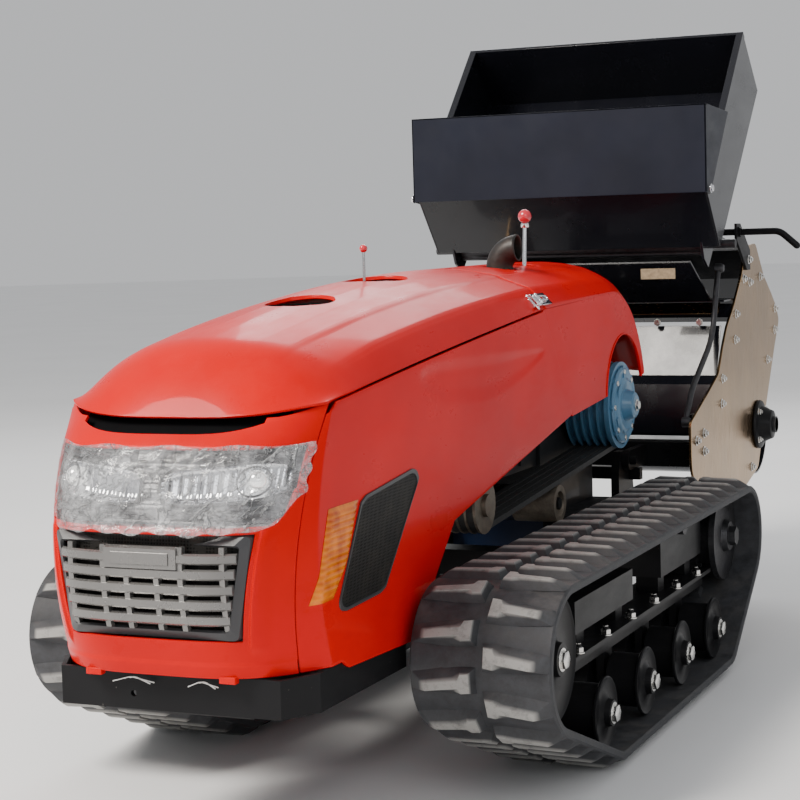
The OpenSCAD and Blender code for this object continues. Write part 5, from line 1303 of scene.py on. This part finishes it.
def make_bolts():
    """Bolts and nuts of the implement, each with a washer and a stud end"""
    spots = [(952, 770), (1120, 770), (1010, 760), (1280, 684), (1272, 630), (871, 690), (860, 630),
             (735, 548), (726, 491), (563, 440), (563, 400), (500, 430), (600, 320), (800, 290),
             (1010, 310), (1190, 560)]
    s = Shape()
    for side in (1, -1):
        for y, z in spots:
            s.bolt((side * 303, y, z), 9, 7, side)
        s.bolt((side * 309, 982, 815), 9, 7, side)
    s.make("implement_nuts", "zinc_bolts", "implement", True, ("implement_bolts",), bevel=0.5 * MM)
    front = Shape()
    for x in (-250, -150, -50, 50, 150, 250):
        front.lathe([(0, 0), (0, 9), (-2, 9), (-2, 7.5), (-8, 7), (-8, 0)], 741, 678, 6, "y", x=x)
    front.make("front_bolts", "zinc_bolts", "implement", bevel=0.4 * MM)


def make_handle():
    """Bent feed handle on its brackets"""
    path = round_path([(-317, *HANDLE), (300, *HANDLE), (406, *HANDLE), (446, HANDLE[0], 847)], 14, 8)
    s = Shape().tube(path, 8, 20)
    for side in (1, -1):
        s.lathe(np.array([(309.6, 0), (309.6, 12), (315, 12), (315, 0)]) * [side, 1], *HANDLE, 32)
    s.make("feed_bar", "black_paint", "feed_handle", True, ("feed_handle",))


def make_links():
    """Bent link rods beside the implement's front wall"""
    s = Shape()
    for side in (1, -1):
        path = [(side * 283, y, z)
                for y, z in (LINK_TOP, (774, 764), (738, 664), (697, 624), (544, 540), LINK_FOOT)]
        s.tube(round_path(path, 26, 7), 6.5, 14)
        for y, z in (LINK_TOP, LINK_FOOT):
            s.lathe(np.array([(276, 0), (276, 11), (290, 11), (296, 8), (296, 0)]) * [side, 1], y, z, 28)
    s.make("link_rods", "dark_iron", "implement", True, ("brace_rods",), angle=40)


def make_implement_trim():
    """A lining strip, two tan plates under the hopper, and the rotor's bearings and bolts"""
    s = Shape()
    s.slab((858, 716), (834, 690), -4, -270, 270)
    s.make("wear_strip", "stainless", "implement", bevel=0.6 * MM)
    tan = Shape().box((150, 612, 782), (230, 616, 806))
    tan.box((-230, 612, 782), (-150, 616, 806))
    tan.make("lift_plates", "canvas_tan", "implement", bevel=0.8 * MM)
    hubs = Shape()
    for side in (1, -1):
        hubs.lathe(np.array([(303, 0), (303, 58), (306, 60), (311, 58), (314, 46), (330, 38), (340, 34),
                             (342, 28), (342, 0)]) * [side, 1], *ROTOR, 56)
        hubs.lathe(np.array([(341, 0), (341, 19.5), (347, 19.5), (349, 17), (349, 0)]) * [side, 1],
                   *ROTOR, 32)
    hubs.make("rotor_bearings", "black_paint", "implement", True, ("bearing_housings",), angle=30)
    b = Shape()
    for side in (1, -1):
        for t in np.radians([45, 135, 225, 315]):
            b.bolt((side * 312, ROTOR[0] + 47 * math.cos(t), ROTOR[1] + 47 * math.sin(t)), 8, 7, side)
    b.make("bearing_bolts", "zinc_bolts", "implement", bevel=0.4 * MM)


def finish_frame_nodes():
    """Every CAD node that stays shown gets the finish of its slot"""
    for entry in frame["record"]["subparts"]:
        node = frame["nodes"][entry["node"]]
        if node.hide_render:
            continue
        mat = FINISH[entry["material_slot"]]
        if node.material_slots:
            for holder in node.material_slots:
                holder.material = mat
        else:
            node.data.materials.append(mat)


# ------------------------------------------------------------------ stage
# The camera: its place in metres, its azimuth, pitch and roll in degrees, its sensor in mm and
# its focal length as a share of the sensor's width
CAMERA_AT, CAMERA_TURN = (1.400, -3.590, 0.900), (23.8056, 4.9336, -1.6816)
SENSOR, FOCAL_SHARE = 36, 1919.88 / 800


def area_light(name, at, aim, size, watts, colour=(1, 1, 1)):
    lamp = bpy.data.lights.new(name, "AREA")
    lamp.shape = "RECTANGLE"
    lamp.size, lamp.size_y = size
    lamp.energy = watts
    lamp.color = colour
    obj = bpy.data.objects.new(name, lamp)
    at, aim = np.array(at, float), np.array(aim, float)
    back = (at - aim) / np.linalg.norm(at - aim)
    right = np.cross((0, 0, 1), back)
    right /= np.linalg.norm(right)
    up = np.cross(back, right)
    m = np.eye(4)
    m[:3, 0], m[:3, 1], m[:3, 2], m[:3, 3] = right, up, back, at
    obj.matrix_world = Matrix(m.tolist())
    bpy.context.scene.collection.objects.link(obj)
    return obj


def make_stage():
    """Pale floor, soft studio light and the camera"""
    a = np.linspace(0, 2 * np.pi, 65)[:-1]
    mesh = bpy.data.meshes.new("floor")
    ring = np.column_stack([40 * np.cos(a), 40 * np.sin(a), np.full(64, -0.0005)])
    mesh.from_pydata(ring.tolist(), [], [list(range(64))])
    floor = bpy.data.objects.new("floor", mesh)
    bpy.context.scene.collection.objects.link(floor)
    mat, tree, shader, where = new_finish("floor_pale")
    base = blended(tree, ranged(tree, noise(tree, where, 1.2, 3.0), 0.3, 0.7, 0.0, 1.0), (0.86, 0.86, 0.86),
                   (0.90, 0.90, 0.90))
    dress(tree, shader, base_color=base, roughness=0.75)
    mesh.materials.append(mat)
    scene = bpy.context.scene
    world = bpy.data.worlds.new("studio")
    world.use_nodes = True
    sky = world.node_tree.nodes["Background"]
    sky.inputs["Color"].default_value = (0.97, 0.98, 1.0, 1.0)
    sky.inputs["Strength"].default_value = 0.62
    scene.world = world
    area_light("key", (-2.6, -4.2, 5.0), (0, -0.3, 0.5), (2.4, 2.4), 640, (1.0, 0.95, 0.88))
    area_light("fill", (3.6, -5.2, 3.2), (0, -0.2, 0.5), (3.0, 2.5), 60, (0.97, 0.98, 1.0))
    area_light("rear", (-1.5, 4.5, 3.4), (0, 0.5, 0.8), (3.0, 2.0), 90)
    az, pitch, roll = np.radians(CAMERA_TURN)
    f0 = np.array([-np.sin(az), np.cos(az), 0])
    r0 = np.array([np.cos(az), np.sin(az), 0])
    zz = np.array([0, 0, 1.0])
    look = f0 * np.cos(pitch) - zz * np.sin(pitch)
    up = zz * np.cos(pitch) + f0 * np.sin(pitch)
    right = r0 * np.cos(roll) + up * np.sin(roll)
    up = up * np.cos(roll) - r0 * np.sin(roll)
    m = np.eye(4)
    m[:3, 0], m[:3, 1], m[:3, 2], m[:3, 3] = right, up, -look, CAMERA_AT
    cam = bpy.data.cameras.new("camera")
    cam.sensor_width = SENSOR
    cam.lens = FOCAL_SHARE * SENSOR
    cam.clip_start, cam.clip_end = 0.05, 200
    eye = bpy.data.objects.new("camera", cam)
    eye.matrix_world = Matrix(m.tolist())
    scene.collection.objects.link(eye)
    scene.camera = eye


# ------------------------------------------------------------------ operators
def operator(idname, label, doc, work):
    """An operator class that runs one of the functions above"""

    def execute(self, context):
        work()
        return {"FINISHED"}

    return type("MACHINE_OT_" + idname, (bpy.types.Operator,), {
        "bl_idname": "machine." + idname, "bl_label": label, "__doc__": doc, "execute": execute})


def make_tracks():
    for side, tag in SIDES:
        make_track(side, tag)


JOBS = [
    ("finishes", "Finishes", "Mixes every finish", mix_finishes),
    ("nose", "Nose", "Builds the nose sheet and its slot", make_nose),
    ("hood_top", "Bonnet top", "Builds the bonnet top with its filler openings", make_hood_top),
    ("side_panels", "Side panels", "Builds both side panels", make_side_panels),
    ("rear_cover", "Rear cover", "Builds the rear cover and its cheeks", make_rear_cover),
    ("vents", "Vents", "Builds the perforated vents", make_vents),
    ("markers", "Marker lamps", "Builds the amber marker lamps", make_markers),
    ("latches", "Latches", "Builds the two toggle latches", make_latches),
    ("headlamps", "Headlamps", "Builds the lamps, lens and film", make_headlamps),
    ("grille", "Grille", "Builds the grille", make_grille),
    ("tracks", "Tracks", "Builds both rubber tracks", make_tracks),
    ("wheels", "Wheels", "Builds the idlers and rollers", make_wheels),
    ("track_trim", "Track trim", "Builds nuts and tension screws", make_track_trim),
    ("pulley_face", "Clutch pulley", "Builds the clutch pulley's face", make_pulley_face),
    ("fittings", "Fittings", "Builds the exhaust, levers and pins", make_fittings),
    ("hopper", "Hopper", "Builds the hopper", make_hopper),
    ("flap", "Flap", "Builds the folding flap", make_flap),
    ("side_plates", "Side plates", "Builds the stainless side plates", make_side_plates),
    ("bolts", "Bolts", "Builds the implement's bolts", make_bolts),
    ("handle", "Feed handle", "Builds the feed handle", make_handle),
    ("links", "Link rods", "Builds the link rods", make_links),
    ("implement_trim", "Implement trim", "Builds strips, plates and bearings", make_implement_trim),
    ("frame_finish", "Frame finish", "Paints the CAD nodes that stay shown", finish_frame_nodes),
    ("stage", "Stage", "Builds the floor, the lights and the camera", make_stage),
]
OPERATORS = [operator(*job) for job in JOBS]


class MACHINE_PT_panel(bpy.types.Panel):
    """Sizes, colours and pieces of the field machine"""

    bl_idname = "MACHINE_PT_panel"
    bl_label = "Field machine"
    bl_space_type = "VIEW_3D"
    bl_region_type = "UI"
    bl_category = "Field machine"

    def draw(self, context):
        for group in (context.scene.machine_sizes, context.scene.machine_colours):
            for key in type(group).__annotations__:
                self.layout.prop(group, key)
        for job in JOBS:
            self.layout.operator("machine." + job[0])


CLASSES = [MachineSizes, MachineColours, *OPERATORS, MACHINE_PT_panel]


def register():
    for cls in CLASSES:
        bpy.utils.register_class(cls)
    bpy.types.Scene.machine_sizes = PointerProperty(type=MachineSizes)
    bpy.types.Scene.machine_colours = PointerProperty(type=MachineColours)


def unregister():
    del bpy.types.Scene.machine_sizes
    del bpy.types.Scene.machine_colours
    for cls in reversed(CLASSES):
        bpy.utils.unregister_class(cls)


def main():
    register()
    for job in JOBS:
        getattr(bpy.ops.machine, job[0])()


if __name__ == "__main__":
    main()
